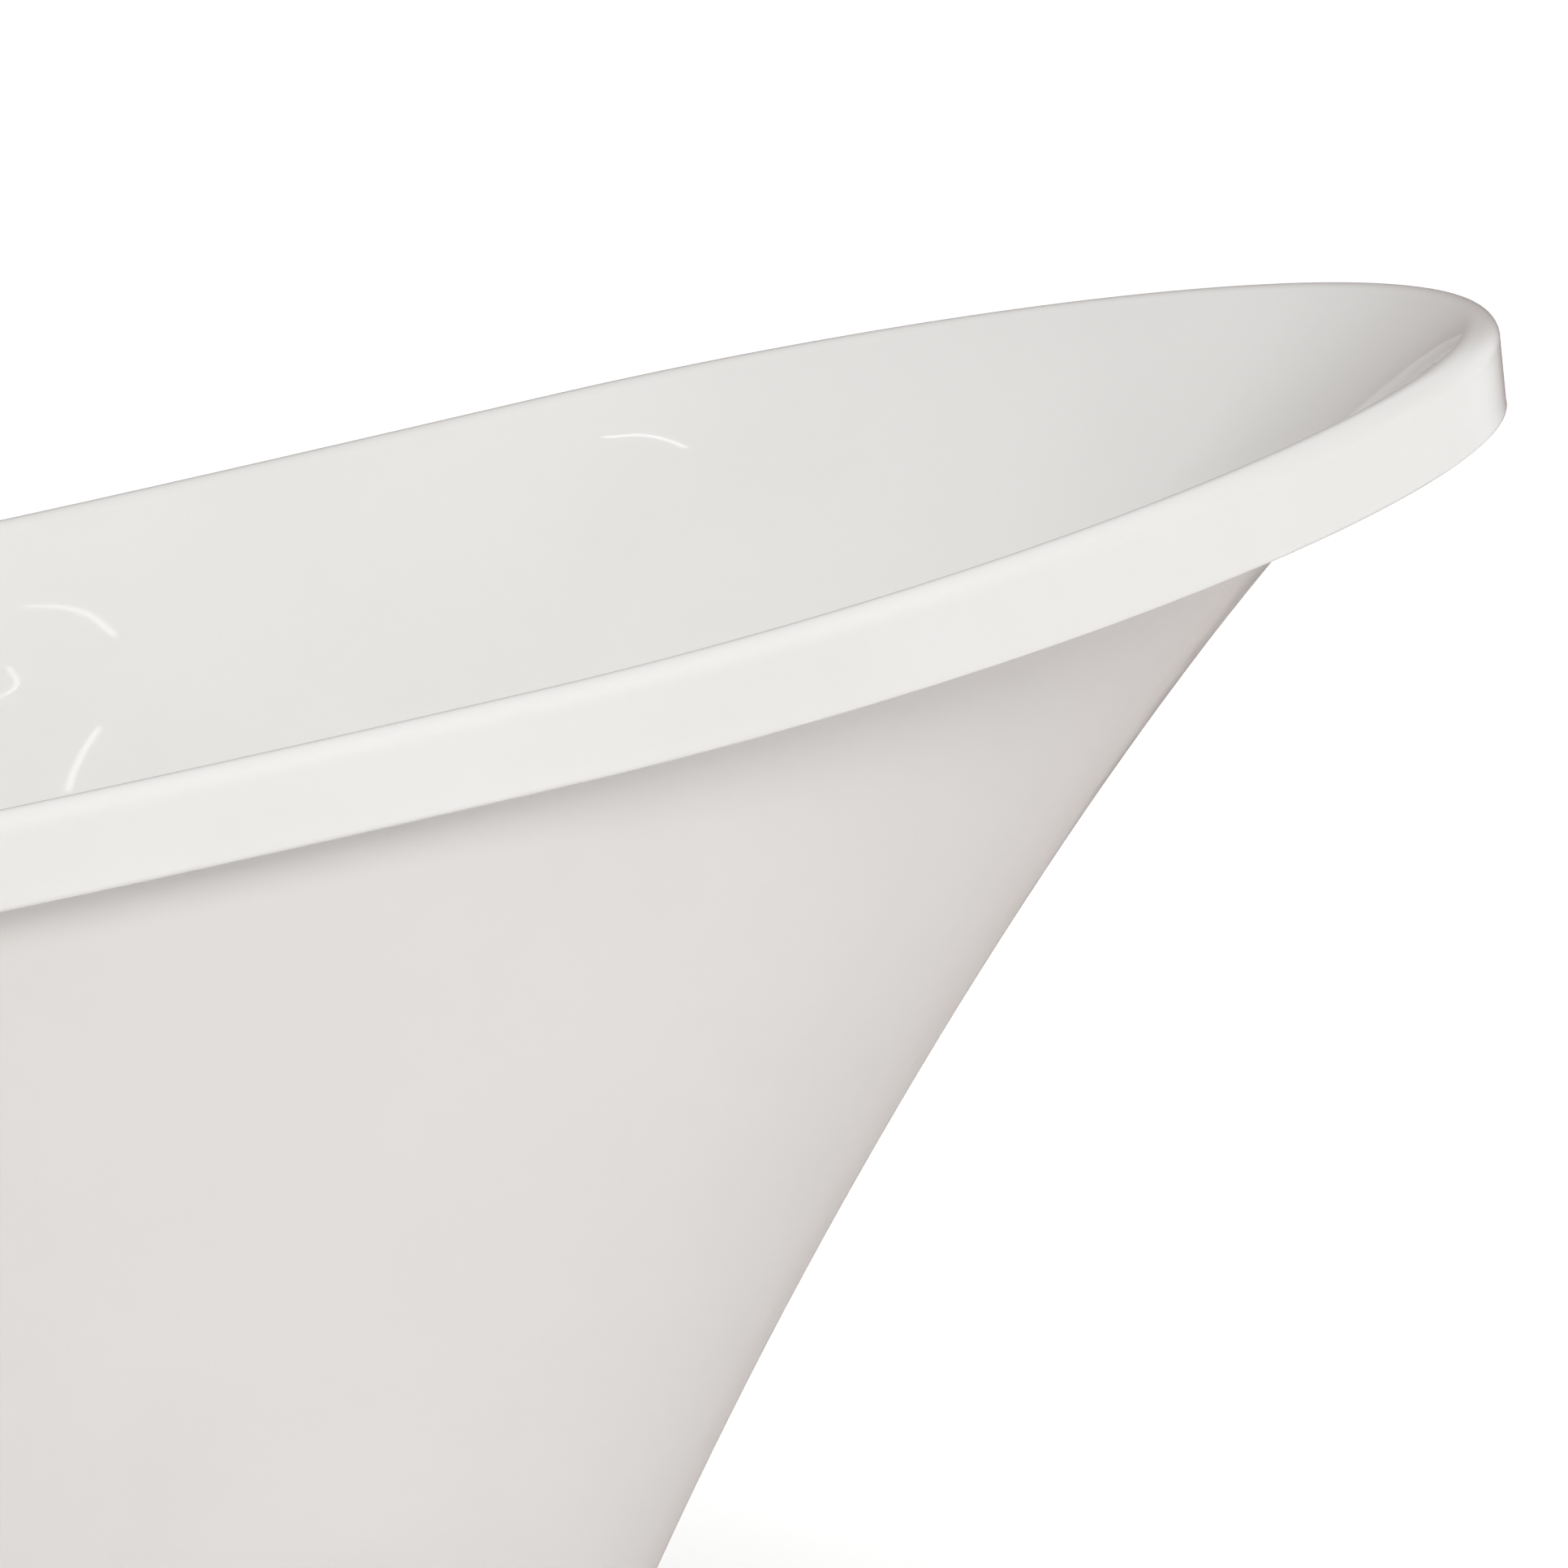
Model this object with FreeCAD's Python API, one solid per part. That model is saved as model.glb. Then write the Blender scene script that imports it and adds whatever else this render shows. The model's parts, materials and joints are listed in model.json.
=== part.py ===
import FreeCAD, Part
import math
import os

# A freestanding slipper bath on four ball-and-claw feet, with its pop-up waste and overflow.
# Lengths are millimetres. The floor under the feet is at height zero, +X points to the raised
# head end and +Z points up.

os.makedirs("parts", exist_ok=True)

V = FreeCAD.Vector
UP = V(0, 0, 1)

# Rim: the line along the top of the roll, seen from above, is four conic quarters.
crest_half_length = 835.0
crest_half_width = 350.0
crest_head_reach = 436.0
crest_head_weight_share = 0.604
crest_foot_weight_share = 1.0
head_height = 790.0
rim_rise_share = 0.2416
rim_knee_x = -115.0
rim_knee_softness = 226.0
roll_radius = 10.0
band_depth = 42.0
band_draft = 3.6

# Well: the flat floor and how far it lies inside the crest line.
floor_height = 150.0
floor_head_inset = 457.0
floor_foot_inset = 190.0
floor_side_inset = 184.0
floor_head_reach = 396.0
floor_head_weight_share = 0.72
floor_foot_weight_share = 0.80

# Wall section: pairs of depth below the rim and spread beyond the floor, as Bezier poles.
wall_pole_shares = ((0.0, 1.0), (0.151, 0.748), (0.57, 0.373), (0.954, 0.138))
corner_pole_shares = ((0.954, 0.138), (0.979, 0.1227), (1.0, 0.07), (1.0, 0.0))

# Skins: the acrylic sheet, the glass-fibre laminate behind it and the board under the floor.
sheet_wall = 5.0
laminate_wall = 4.2
skin_gap = 0.3
laminate_top_share = 0.06
board_thickness = 18.0
board_edge_inset = 8.0
board_waste_clearance = 66.0

# Feet: leg sections follow the height of the leg, its reach and its knee.
foot_head_station = 0.5
foot_tail_station = 1.44
foot_splay = 38.0
leg_reach = 98.0
leg_top_height = 224.0
knee_depth = 27.0
knee_width = 40.0
leg_section_shares = (
    (1.00, 0.60, 0.42, 0.36),
    (0.90, 0.64, 0.86, 0.80),
    (0.73, 0.72, 1.00, 1.00),
    (0.56, 0.83, 0.82, 0.78),
    (0.43, 0.92, 0.56, 0.52),
    (0.33, 0.98, 0.60, 0.56),
)
tongue_end_margin = 24.0
tongue_width = 58.0
tongue_thickness = 8.0
tongue_corner_radius = 14.0
ball_radius = 30.0
ball_center_height = 48.0
ball_flat_height = 20.0
toe_radius = 8.5
knuckle_radius = 9.6
toe_track_share = 0.94
toe_angles = (-64.0, 0.0, 64.0, 180.0)
toe_top_angle = 58.0
toe_low_angle = -22.0

# Foot bolts, two in each tongue, into threaded inserts in the board.
bolt_radius = 4.0
bolt_clearance = 0.5
bolt_head_flats = 13.0
bolt_head_height = 5.3
bolt_near_offset = 18.0
bolt_pitch = 36.0
washer_radius = 8.0
washer_thickness = 1.6
insert_radius = 5.6
insert_length = 14.0
insert_gap = 0.1
thread_gap = 0.1

# Levellers: a hexed screw in each ball, turning in a round pad.
screw_radius = 5.0
screw_running_gap = 0.06
screw_reach = 38.0
screw_well_spare = 14.0
screw_hex_flats = 14.0
peg_radius = 4.0
peg_depth = 6.0
pad_radius = 19.0
pad_height = 12.0
pad_chamfer = 2.0
face_gap = 0.3

# Waste: flange, seals and tee under the floor at the foot end.
waste_inset = 95.0
waste_hole_radius = 23.0
flange_radius = 35.0
flange_thickness = 3.0
flange_tube_radius = 22.0
flange_tube_wall = 2.2
flange_seat_depth = 4.0
seal_ring_thickness = 1.5
seal_ring_width = 11.0
washer_seal_thickness = 3.0
body_flange_thickness = 5.0
body_wall = 3.4
body_tube_gap = 0.2
guide_step_drop = 45.0
lower_bore_radius = 18.0
port_drop = 50.0
port_reach = 40.0
barrel_length = 76.0
tail_radius = 19.05
tail_wall = 1.5
tail_spigot_radius = 18.6
tail_clear_height = 12.0
tail_socket_depth = 8.0
nut_wall = 5.0
nut_height = 15.0
nut_gap = 0.2

# Pop-up plug, its stem and the guide that carries it.
cap_radius = 31.0
cap_rise = 7.0
cap_edge = 2.5
cap_shoulder_share = 0.8
cap_crown_share = 0.45
plug_seal_thickness = 2.4
plug_seal_radius = 27.0
plug_lift = 10.0
lift_spare = 0.7
stem_radius = 4.0
stem_running_gap = 0.08
plunger_radius = 6.0
plunger_gap = 0.3
plunger_height = 8.0
guide_ring_height = 6.0
guide_ring_width = 3.0
guide_arm_width = 4.0
hub_radius = 10.0
hub_rise = 14.0
hub_drop = 25.0
hub_floor = 2.0

# Overflow: faceplate inside the wall, elbow outside it, and the pipe down to the tee.
overflow_drop = 99.0
overflow_hole_radius = 21.0
faceplate_radius = 36.0
faceplate_thickness = 3.0
faceplate_tube_radius = 20.0
faceplate_tube_wall = 3.0
faceplate_tube_reach = 24.0
inlet_radius = 3.0
inlet_track = 11.5
inlet_count = 6
overflow_seal_radius = 32.0
overflow_seal_inner_depth = 5.0
overflow_seal_outer_depth = 3.0
seal_conform = 6.0
seal_gap = 0.1
elbow_flange_radius = 33.0
elbow_flange_thickness = 4.0
elbow_radius = 24.0
elbow_bore_radius = 20.3
elbow_center_reach = 36.0
elbow_drop = 42.0
elbow_inner_radius = 17.5
pipe_radius = 19.0
pipe_wall = 2.0
pipe_bend_radius = 62.0
pipe_socket_depth = 14.0

# Dial and its spindle.
dial_radius = 33.0
dial_depth = 17.0
dial_wall = 3.0
dial_gap = 1.0
dial_hub_radius = 8.5
dial_scallop_count = 8
dial_scallop_radius = 9.0
dial_scallop_bite = 2.6
spindle_radius = 5.0
spindle_running_gap = 0.06
spindle_reach = 36.0
drum_radius = 9.0
drum_height = 8.0

# Cable that lifts the plug, lying against the outer side of the pipe.
cable_radius = 3.5
cable_gap = 0.3
cable_top_drop = 20.0

# Rings: how finely each quarter of the plan is sampled, and the small step for a tangent.
head_steps = 8
foot_steps = 12
wall_steps = 8
corner_steps = 5
oval_points = 12
roll_steps = 6
tangent_step = 1e-4
cut_overrun = 5.0

floor_underside = floor_height - sheet_wall - skin_gap - laminate_wall
laminate_depth = sheet_wall + skin_gap
outer_depth = laminate_depth + laminate_wall
board_top = floor_underside - skin_gap
board_bottom = board_top - board_thickness
tongue_inner_reach = bolt_near_offset + bolt_pitch + tongue_end_margin


class Outline:
    """A closed plan curve of four conic quarters, with its tips on the long centre line."""

    def __init__(self, head_tip, foot_tip, head_reach, half_width, head_weight, foot_weight):
        self.widest = head_tip - head_reach
        self.head_reach = head_reach
        self.foot_reach = self.widest - foot_tip
        self.half_width = half_width
        self.head_weight = head_weight
        self.foot_weight = foot_weight

    def quarter(self, u, reach, weight):
        tip = (1 - u) ** 2
        middle = 2 * weight * u * (1 - u)
        side = u * u
        total = tip + middle + side
        return reach * (tip + middle) / total, self.half_width * (middle + side) / total

    def point(self, t):
        turn = t % 4
        index = int(turn)
        part = turn - index
        u = part if index in (0, 2) else 1 - part
        if index in (0, 3):
            x, y = self.quarter(u, self.head_reach, self.head_weight)
        else:
            x, y = self.quarter(u, -self.foot_reach, self.foot_weight)
        return V(self.widest + x, y if index < 2 else -y, 0)

    def outward(self, t):
        along = self.point(t + tangent_step) - self.point(t - tangent_step)
        return V(along.y, -along.x, 0).normalize()


crest = Outline(crest_half_length, -crest_half_length, crest_head_reach, crest_half_width,
                crest_head_weight_share, crest_foot_weight_share)
floor_line = Outline(crest_half_length - floor_head_inset, floor_foot_inset - crest_half_length,
                     floor_head_reach, crest_half_width - floor_side_inset,
                     floor_head_weight_share, floor_foot_weight_share)

# How fast each line runs past the widest station; the floor is eased to one pace on both sides.
head_pace = floor_head_weight_share * floor_line.head_reach / (crest_head_weight_share * crest.head_reach)
foot_pace = floor_foot_weight_share * floor_line.foot_reach / (crest_foot_weight_share * crest.foot_reach)
shared_pace = math.sqrt(head_pace * foot_pace)


def floor_point(t):
    """The point of the floor line under a station of the crest line."""
    turn = t % 4
    index = int(turn)
    u = turn - index if index in (0, 2) else 1 - turn + index
    ease = 1 - shared_pace / (head_pace if index in (0, 3) else foot_pace)
    u += ease * u * u * (1 - u)
    return floor_line.point(index + (u if index in (0, 2) else 1 - u))


stations = [i / head_steps for i in range(head_steps)]
stations += [1 + i / foot_steps for i in range(foot_steps)]
stations += [2 + i / foot_steps for i in range(foot_steps)]
stations += [3 + i / head_steps for i in range(head_steps)]


def chord_parameters():
    """Distances along the crest line, which every ring shares so that they match."""
    total = 0.0
    values = [total]
    for here, after in zip(stations, stations[1:] + stations[:1]):
        total += crest.point(here).distanceToPoint(crest.point(after))
        values.append(total)
    return [value / total for value in values]


ring_parameters = chord_parameters()


def rim_rise(x):
    run = x - rim_knee_x
    return rim_rise_share / 2 * (run + math.hypot(run, rim_knee_softness))


def rim_height(x):
    return head_height - rim_rise(crest_half_length) + rim_rise(x)


def bezier(poles, u):
    weights = ((1 - u) ** 3, 3 * u * (1 - u) ** 2, 3 * u * u * (1 - u), u ** 3)
    return [sum(w * pole[axis] for w, pole in zip(weights, poles)) for axis in (0, 1)]


top_slope_share = (wall_pole_shares[0][1] - wall_pole_shares[1][1]) / wall_pole_shares[1][0]


def lean(t):
    """Angle of the wall from upright where it leaves the roll."""
    edge = crest.point(t)
    spread = (edge - floor_point(t)).dot(crest.outward(t))
    return math.atan(top_slope_share * spread / (rim_height(edge.x) - floor_height))


def rim_point(t, out, rise):
    """A point beside the crest line, out from it and above it."""
    edge = crest.point(t)
    return edge + crest.outward(t) * out + UP * (rim_height(edge.x) + rise)


def roll_point(t, share, depth):
    """A point on the roll, from the band at share 0 to the wall at share 1."""
    angle = share * (math.pi - lean(t))
    radius = roll_radius - depth
    return rim_point(t, radius * math.cos(angle), radius * math.sin(angle) - roll_radius)


def wet_point(v, t):
    """A point on the wet face: v runs 0 to 1 down the wall and 1 to 2 round the corner."""
    drop, spread = bezier(wall_pole_shares, v) if v <= 1 else bezier(corner_pole_shares, v - 1)
    top = roll_point(t, 1, 0)
    base = floor_point(t)
    plan = base + (V(top.x, top.y, 0) - base) * spread
    return plan + UP * (top.z + (floor_height - top.z) * drop)


def wall_normal(v, t):
    """Unit direction out of the bath, square to the wet face."""
    low = min(v + tangent_step, 2)
    high = max(v - tangent_step, 0)
    down = wet_point(low, t) - wet_point(high, t)
    along = wet_point(v, t + tangent_step) - wet_point(v, t - tangent_step)
    return down.cross(along).normalize()


def wall_point(v, t, depth):
    if v >= 2:
        return wet_point(2, t) - UP * depth
    return wet_point(v, t) + wall_normal(v, t) * depth


def ring(point_at):
    curve = Part.BSplineCurve()
    points = [point_at(t) for t in stations]
    curve.interpolate(Points=points, PeriodicFlag=True, Parameters=ring_parameters)
    return Part.Wire([curve.toShape()])


def skin(rings):
    return Part.makeLoft(rings, False, len(rings) == 2).Faces


def wall_rings(depth, start):
    rings = []
    for i in range(wall_steps + 1):
        v = start + (1 - start) * i / wall_steps
        rings.append(ring(lambda t, v=v: wall_point(v, t, depth)))
    return rings


def corner_rings(depth):
    return [ring(lambda t, v=1 + i / corner_steps: wall_point(v, t, depth)) for i in range(corner_steps + 1)]


def well_faces(depth, start, top=None):
    """The wall, corner and floor of the well at a depth behind the wet face, and the top ring."""
    wall = wall_rings(depth, start)
    wall[0] = top or wall[0]
    corner = corner_rings(depth)
    corner[0] = wall[-1]
    return skin(wall) + skin(corner) + [Part.Face(corner[-1])], wall[0]


def solid_of(faces):
    shell = Part.makeShell(faces)
    shell.sewShape()
    solid = Part.Solid(shell)
    if solid.Volume < 0:
        solid.reverse()
    return solid


def rim_faces(depth):
    """Band and roll on one side of the sheet, with the band's lower ring and the wall's first one."""
    reach = roll_radius - depth
    lower = ring(lambda t: rim_point(t, reach + band_draft, -band_depth))
    roll = [ring(lambda t, k=k: roll_point(t, k / roll_steps, depth)) for k in range(roll_steps + 1)]
    return skin([lower, roll[0]]) + skin(roll), lower, roll[-1]


def bath_shell_blank():
    wet_rim, wet_edge, wet_top = rim_faces(0)
    back_rim, back_edge, back_top = rim_faces(sheet_wall)
    wet_well = well_faces(0, 0, wet_top)[0]
    back_well = well_faces(sheet_wall, 0, back_top)[0]
    return solid_of(wet_rim + wet_well + back_rim + back_well + skin([wet_edge, back_edge]))


def laminate_blank():
    front, front_top = well_faces(laminate_depth, laminate_top_share)
    back, back_top = well_faces(outer_depth, laminate_top_share)
    return solid_of(front + back + skin([front_top, back_top]))


def well_block(depth):
    """All the space inside the well's face at a depth, closed well above the rim."""
    faces, top = well_faces(depth, 0)
    lid = ring(lambda t: floor_point(t) + UP * (head_height + band_depth))
    return solid_of(faces + skin([top, lid]) + [Part.Face(lid)])


def cylinder(radius, low, high, at=V(0, 0, 0)):
    return Part.makeCylinder(radius, high - low, at + UP * low)


def tube(outer, inner, low, high, at=V(0, 0, 0)):
    return cylinder(outer, low, high, at).cut(cylinder(inner, low - cut_overrun, high + cut_overrun, at))


def hexagon(flats, low, high, at=V(0, 0, 0)):
    corner = flats / math.sqrt(3)
    angles = [math.radians(60 * i + 30) for i in range(7)]
    outline = [at + V(corner * math.cos(a), corner * math.sin(a), low) for a in angles]
    return Part.Face(Part.makePolygon(outline)).extrude(UP * (high - low))


def turned(profile, at=V(0, 0, 0)):
    """A turned piece about the upright axis from pairs of radius and height."""
    points = [V(r, 0, z) for r, z in profile]
    face = Part.Face(Part.makePolygon(points + points[:1]))
    solid = face.revolve(V(0, 0, 0), UP, 360)
    solid.translate(at)
    return solid


def hex_nut(bore, low, high, at):
    flats = 2 * (bore + nut_wall)
    return hexagon(flats, low, high, at).cut(cylinder(bore, low - cut_overrun, high + cut_overrun, at))


def save(name, shape):
    shape.exportStep("parts/" + name + ".step")
    solids = len(shape.Solids)
    print(name, "solids", solids, "volume", round(shape.Volume), "valid", shape.isValid())


# Where the overflow goes through the wall: its axis is square to the wall at the foot end.
overflow_height = rim_height(-crest_half_length) - overflow_drop


def overflow_station():
    low, high = 0.0, 1.0
    for _ in range(40):
        middle = (low + high) / 2
        if wet_point(middle, 2).z > overflow_height:
            low = middle
        else:
            high = middle
    return low


overflow_v = overflow_station()
overflow_center = wet_point(overflow_v, 2)
overflow_axis = wall_normal(overflow_v, 2)
overflow_frame = FreeCAD.Placement(overflow_center, FreeCAD.Rotation(UP, overflow_axis))

waste_x = floor_foot_inset - crest_half_length + waste_inset
waste_at = V(waste_x, 0, 0)
seal_outer_face = outer_depth + overflow_seal_outer_depth
elbow_center = overflow_center + overflow_axis * (seal_outer_face + elbow_center_reach)
pipe_x = elbow_center.x

body_top = floor_underside - washer_seal_thickness
guide_step = body_top - guide_step_drop + body_flange_thickness
port_height = body_top - port_drop
barrel_bottom = body_top - barrel_length
barrel_radius = flange_tube_radius + body_tube_gap + body_wall


def placed(shape):
    moved = shape.copy()
    moved.Placement = overflow_frame.multiply(moved.Placement)
    return moved


def bath_shell(blank):
    hole = cylinder(waste_hole_radius, board_bottom, floor_height + cut_overrun, waste_at)
    inlet = placed(cylinder(overflow_hole_radius, -sheet_wall, outer_depth + cut_overrun))
    return blank.cut(hole).cut(inlet)


def base_board():
    """The board under the floor, cut square before the waste, with a bore for each insert."""
    points = [floor_line.point(t) - floor_line.outward(t) * board_edge_inset for t in stations]
    curve = Part.BSplineCurve()
    curve.interpolate(Points=points, PeriodicFlag=True, Parameters=ring_parameters)
    plate = Part.Face(Part.Wire([curve.toShape()])).extrude(UP * board_thickness)
    plate.translate(UP * board_bottom)
    cut_x = waste_x + board_waste_clearance
    width = 2 * crest_half_width
    trim = Part.makeBox(crest_half_length, width, head_height, V(cut_x - crest_half_length, -crest_half_width, 0))
    plate = plate.cut(trim)
    for spot in bolt_spots():
        plate = plate.cut(cylinder(insert_radius + insert_gap, board_bottom - cut_overrun,
                                   board_bottom + insert_length + insert_gap, spot))
    return plate


# Each foot stands on the floor outline, turned out by the splay from straight across.
def foot_places():
    places = {}
    for end, station, turn in (("head", foot_head_station, -1), ("tail", foot_tail_station, 1)):
        spot = floor_line.point(station)
        angle = 90 + turn * foot_splay
        places["foot_" + end + "_left"] = (spot, angle)
        places["foot_" + end + "_right"] = (V(spot.x, -spot.y, 0), -angle)
    return places


def out_from(place, reach):
    spot, angle = place
    way = V(math.cos(math.radians(angle)), math.sin(math.radians(angle)), 0)
    return spot + way * reach


def bolt_spots():
    spots = []
    for place in foot_places().values():
        spots.append(out_from(place, -bolt_near_offset))
        spots.append(out_from(place, -bolt_near_offset - bolt_pitch))
    return spots


def oval_wire(center, depth, width):
    """A level oval that starts on +X, so that the leg's sections line up."""
    angles = [2 * math.pi * i / oval_points for i in range(oval_points)]
    curve = Part.BSplineCurve()
    points = [center + V(depth * math.cos(a), width * math.sin(a), 0) for a in angles]
    curve.interpolate(Points=points, PeriodicFlag=True)
    return Part.Wire([curve.toShape()])


def toe(angle, ball_at):
    """One toe bent down over the ball, with a knuckle at each end."""
    track = ball_radius * toe_track_share
    swing = toe_top_angle - toe_low_angle
    bend = math.radians(swing)
    finger = Part.makeTorus(track, toe_radius, V(0, 0, 0), UP, 0, 360, swing)
    knuckle = Part.makeSphere(knuckle_radius, V(track * math.cos(bend), track * math.sin(bend), 0))
    finger = finger.multiFuse([knuckle, Part.makeSphere(knuckle_radius, V(track, 0, 0))])
    finger.rotate(V(0, 0, 0), UP, toe_low_angle)
    finger.rotate(V(0, 0, 0), V(1, 0, 0), 90)
    finger.rotate(V(0, 0, 0), UP, angle)
    finger.translate(ball_at)
    return finger


def claw_foot():
    """One foot along +X from the floor outline: tongue, cabriole leg, ball and toes."""
    sections = []
    for height, reach, depth, width in leg_section_shares:
        center = V(reach * leg_reach, 0, height * leg_top_height)
        sections.append(oval_wire(center, depth * knee_depth, width * knee_width))
    leg = Part.makeLoft(sections, True, False)
    tongue_low = board_bottom - tongue_thickness
    tongue_length = tongue_inner_reach + leg_section_shares[3][1] * leg_reach
    tongue = Part.makeBox(tongue_length, tongue_width, tongue_thickness,
                          V(-tongue_inner_reach, -tongue_width / 2, tongue_low))
    corners = [e for e in tongue.Edges if abs(e.tangentAt(0).z) > 0.9 and e.CenterOfMass.x < 0]
    tongue = tongue.makeFillet(tongue_corner_radius, corners)
    ball_at = V(leg_reach, 0, ball_center_height)
    toes = [toe(angle, ball_at) for angle in toe_angles]
    foot = leg.multiFuse([tongue, Part.makeSphere(ball_radius, ball_at)] + toes)
    under = Part.makeBox(4 * ball_radius, 4 * ball_radius, ball_flat_height,
                         V(leg_reach - 2 * ball_radius, -2 * ball_radius, 0))
    foot = foot.cut(under)
    well_top = ball_flat_height + screw_reach + screw_well_spare
    foot = foot.cut(cylinder(screw_radius + screw_running_gap, 0, well_top, V(leg_reach, 0, 0)))
    for reach in (-bolt_near_offset, -bolt_near_offset - bolt_pitch):
        foot = foot.cut(cylinder(bolt_radius + bolt_clearance, 0, board_bottom + cut_overrun, V(reach, 0, 0)))
    return foot


def set_foot(blank, place, envelope):
    """Turn a foot to its place and cut it where it seats on the bath and the board."""
    spot, angle = place
    foot = blank.copy()
    foot.rotate(V(0, 0, 0), UP, angle)
    foot.translate(spot)
    foot = foot.cut(envelope)
    return max(foot.Solids, key=lambda s: s.Volume)


def tub_envelope():
    """The space that the bath takes, with a little room, and the slab above the board's underside."""
    points = [floor_line.point(t) for t in stations]
    curve = Part.BSplineCurve()
    curve.interpolate(Points=points, PeriodicFlag=True, Parameters=ring_parameters)
    slab = Part.Face(Part.Wire([curve.toShape()])).extrude(UP * (board_thickness + skin_gap))
    slab.translate(UP * board_bottom)
    return well_block(outer_depth + skin_gap).fuse(slab)


def leveller_pad(at):
    top = pad_height - face_gap
    rim = pad_radius - pad_chamfer
    outline = ((0, 0), (pad_radius, 0), (pad_radius, top - pad_chamfer), (rim, top), (0, top))
    socket = cylinder(peg_radius + screw_running_gap, pad_height - peg_depth - face_gap, pad_height, at)
    return turned(outline, at).cut(socket)


def leveller_screw(at):
    hex_top = ball_flat_height - face_gap
    screw = hexagon(screw_hex_flats, pad_height, hex_top, at)
    screw = screw.fuse(cylinder(screw_radius, hex_top, ball_flat_height + screw_reach, at))
    return screw.fuse(cylinder(peg_radius, pad_height - peg_depth, pad_height, at))


def foot_fasteners():
    """Bolts, washers and inserts, one of each at every bolt spot."""
    bolts, washers, inserts = [], [], []
    seat = board_bottom - tongue_thickness
    head_top = seat - washer_thickness
    for spot in bolt_spots():
        shank = cylinder(bolt_radius, head_top, board_bottom + insert_length, spot)
        bolts.append(hexagon(bolt_head_flats, head_top - bolt_head_height, head_top, spot).fuse(shank))
        washers.append(tube(washer_radius, bolt_radius + bolt_clearance, head_top, seat, spot))
        inserts.append(tube(insert_radius, bolt_radius + thread_gap, board_bottom,
                            board_bottom + insert_length, spot))
    return Part.makeCompound(bolts), Part.makeCompound(washers), Part.makeCompound(inserts)


flange_low = floor_height + seal_ring_thickness
flange_top = flange_low + flange_thickness
throat_radius = flange_tube_radius - flange_tube_wall


def waste_flange():
    low = guide_step + guide_ring_height + face_gap
    seat = flange_top - flange_seat_depth
    outline = ((throat_radius, low), (flange_tube_radius, low), (flange_tube_radius, flange_low),
               (flange_radius, flange_low), (flange_radius, flange_low + flange_thickness / 2),
               (flange_radius - flange_thickness, flange_top), (plug_seal_radius, flange_top),
               (throat_radius, seat))
    return turned(outline, waste_at)


def waste_gaskets():
    top = tube(flange_radius, flange_radius - seal_ring_width, floor_height, flange_low, waste_at)
    bottom = tube(flange_radius, flange_radius - seal_ring_width, body_top, floor_underside, waste_at)
    return top, bottom


def waste_body():
    """The tee: a flanged barrel with a step for the guide, a side port and a socket for the tail."""
    shell = cylinder(flange_radius, body_top - body_flange_thickness, body_top, waste_at)
    shell = shell.fuse(cylinder(barrel_radius, barrel_bottom, body_top, waste_at))
    port_outer = pipe_radius + nut_gap + body_wall
    port = Part.makeCylinder(port_outer, port_reach, waste_at + UP * port_height, V(-1, 0, 0))
    shell = shell.fuse(port)
    shell = shell.cut(cylinder(flange_tube_radius + body_tube_gap, guide_step, body_top + cut_overrun, waste_at))
    shell = shell.cut(cylinder(lower_bore_radius, barrel_bottom - cut_overrun, body_top, waste_at))
    shell = shell.cut(cylinder(tail_spigot_radius + nut_gap, barrel_bottom - cut_overrun,
                               barrel_bottom + tail_socket_depth, waste_at))
    inner = Part.makeCylinder(pipe_radius - pipe_wall, port_reach + cut_overrun,
                              waste_at + UP * port_height, V(-1, 0, 0))
    socket_start = waste_at + UP * port_height - V(port_reach - pipe_socket_depth, 0, 0)
    socket = Part.makeCylinder(pipe_radius + nut_gap, port_reach, socket_start, V(-1, 0, 0))
    return shell.cut(inner).cut(socket)


def waste_tail():
    """The outlet tube, turned down where it goes up into the tee."""
    top = barrel_bottom + tail_socket_depth
    step = barrel_bottom - nut_height - 2 * face_gap
    bore = tail_radius - tail_wall
    return turned(((bore, tail_clear_height), (tail_radius, tail_clear_height), (tail_radius, step),
                   (tail_spigot_radius, step), (tail_spigot_radius, top), (bore, top)), waste_at)


def tail_nut():
    top = barrel_bottom - face_gap
    return hex_nut(tail_spigot_radius + nut_gap, top - nut_height, top, waste_at)


def cable_guide():
    """A spider trapped under the flange: ring, three arms and a hub with a cup for the plunger."""
    outer = flange_tube_radius + body_tube_gap / 2
    low, high = guide_step, guide_step + guide_ring_height
    guide = tube(outer, outer - guide_ring_width, low, high, waste_at)
    for index in range(3):
        arm = Part.makeBox(outer - guide_ring_width / 2, guide_arm_width, guide_ring_height,
                           waste_at + V(0, -guide_arm_width / 2, low))
        arm.rotate(waste_at, UP, index * 120)
        guide = guide.fuse(arm)
    hub_low = guide_step - hub_drop
    guide = guide.fuse(cylinder(hub_radius, hub_low, guide_step + hub_rise, waste_at))
    guide = guide.cut(cylinder(stem_radius + stem_running_gap, hub_low + hub_floor,
                               guide_step + hub_rise + cut_overrun, waste_at))
    return guide.cut(cylinder(plunger_radius + plunger_gap, hub_low + hub_floor, plunger_stop, waste_at))


plunger_low = guide_step - hub_drop + hub_floor + face_gap
plunger_top = plunger_low + plunger_height
plunger_stop = plunger_top + plug_lift + lift_spare
seal_low = flange_top + face_gap
cap_low = seal_low + plug_seal_thickness


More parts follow.
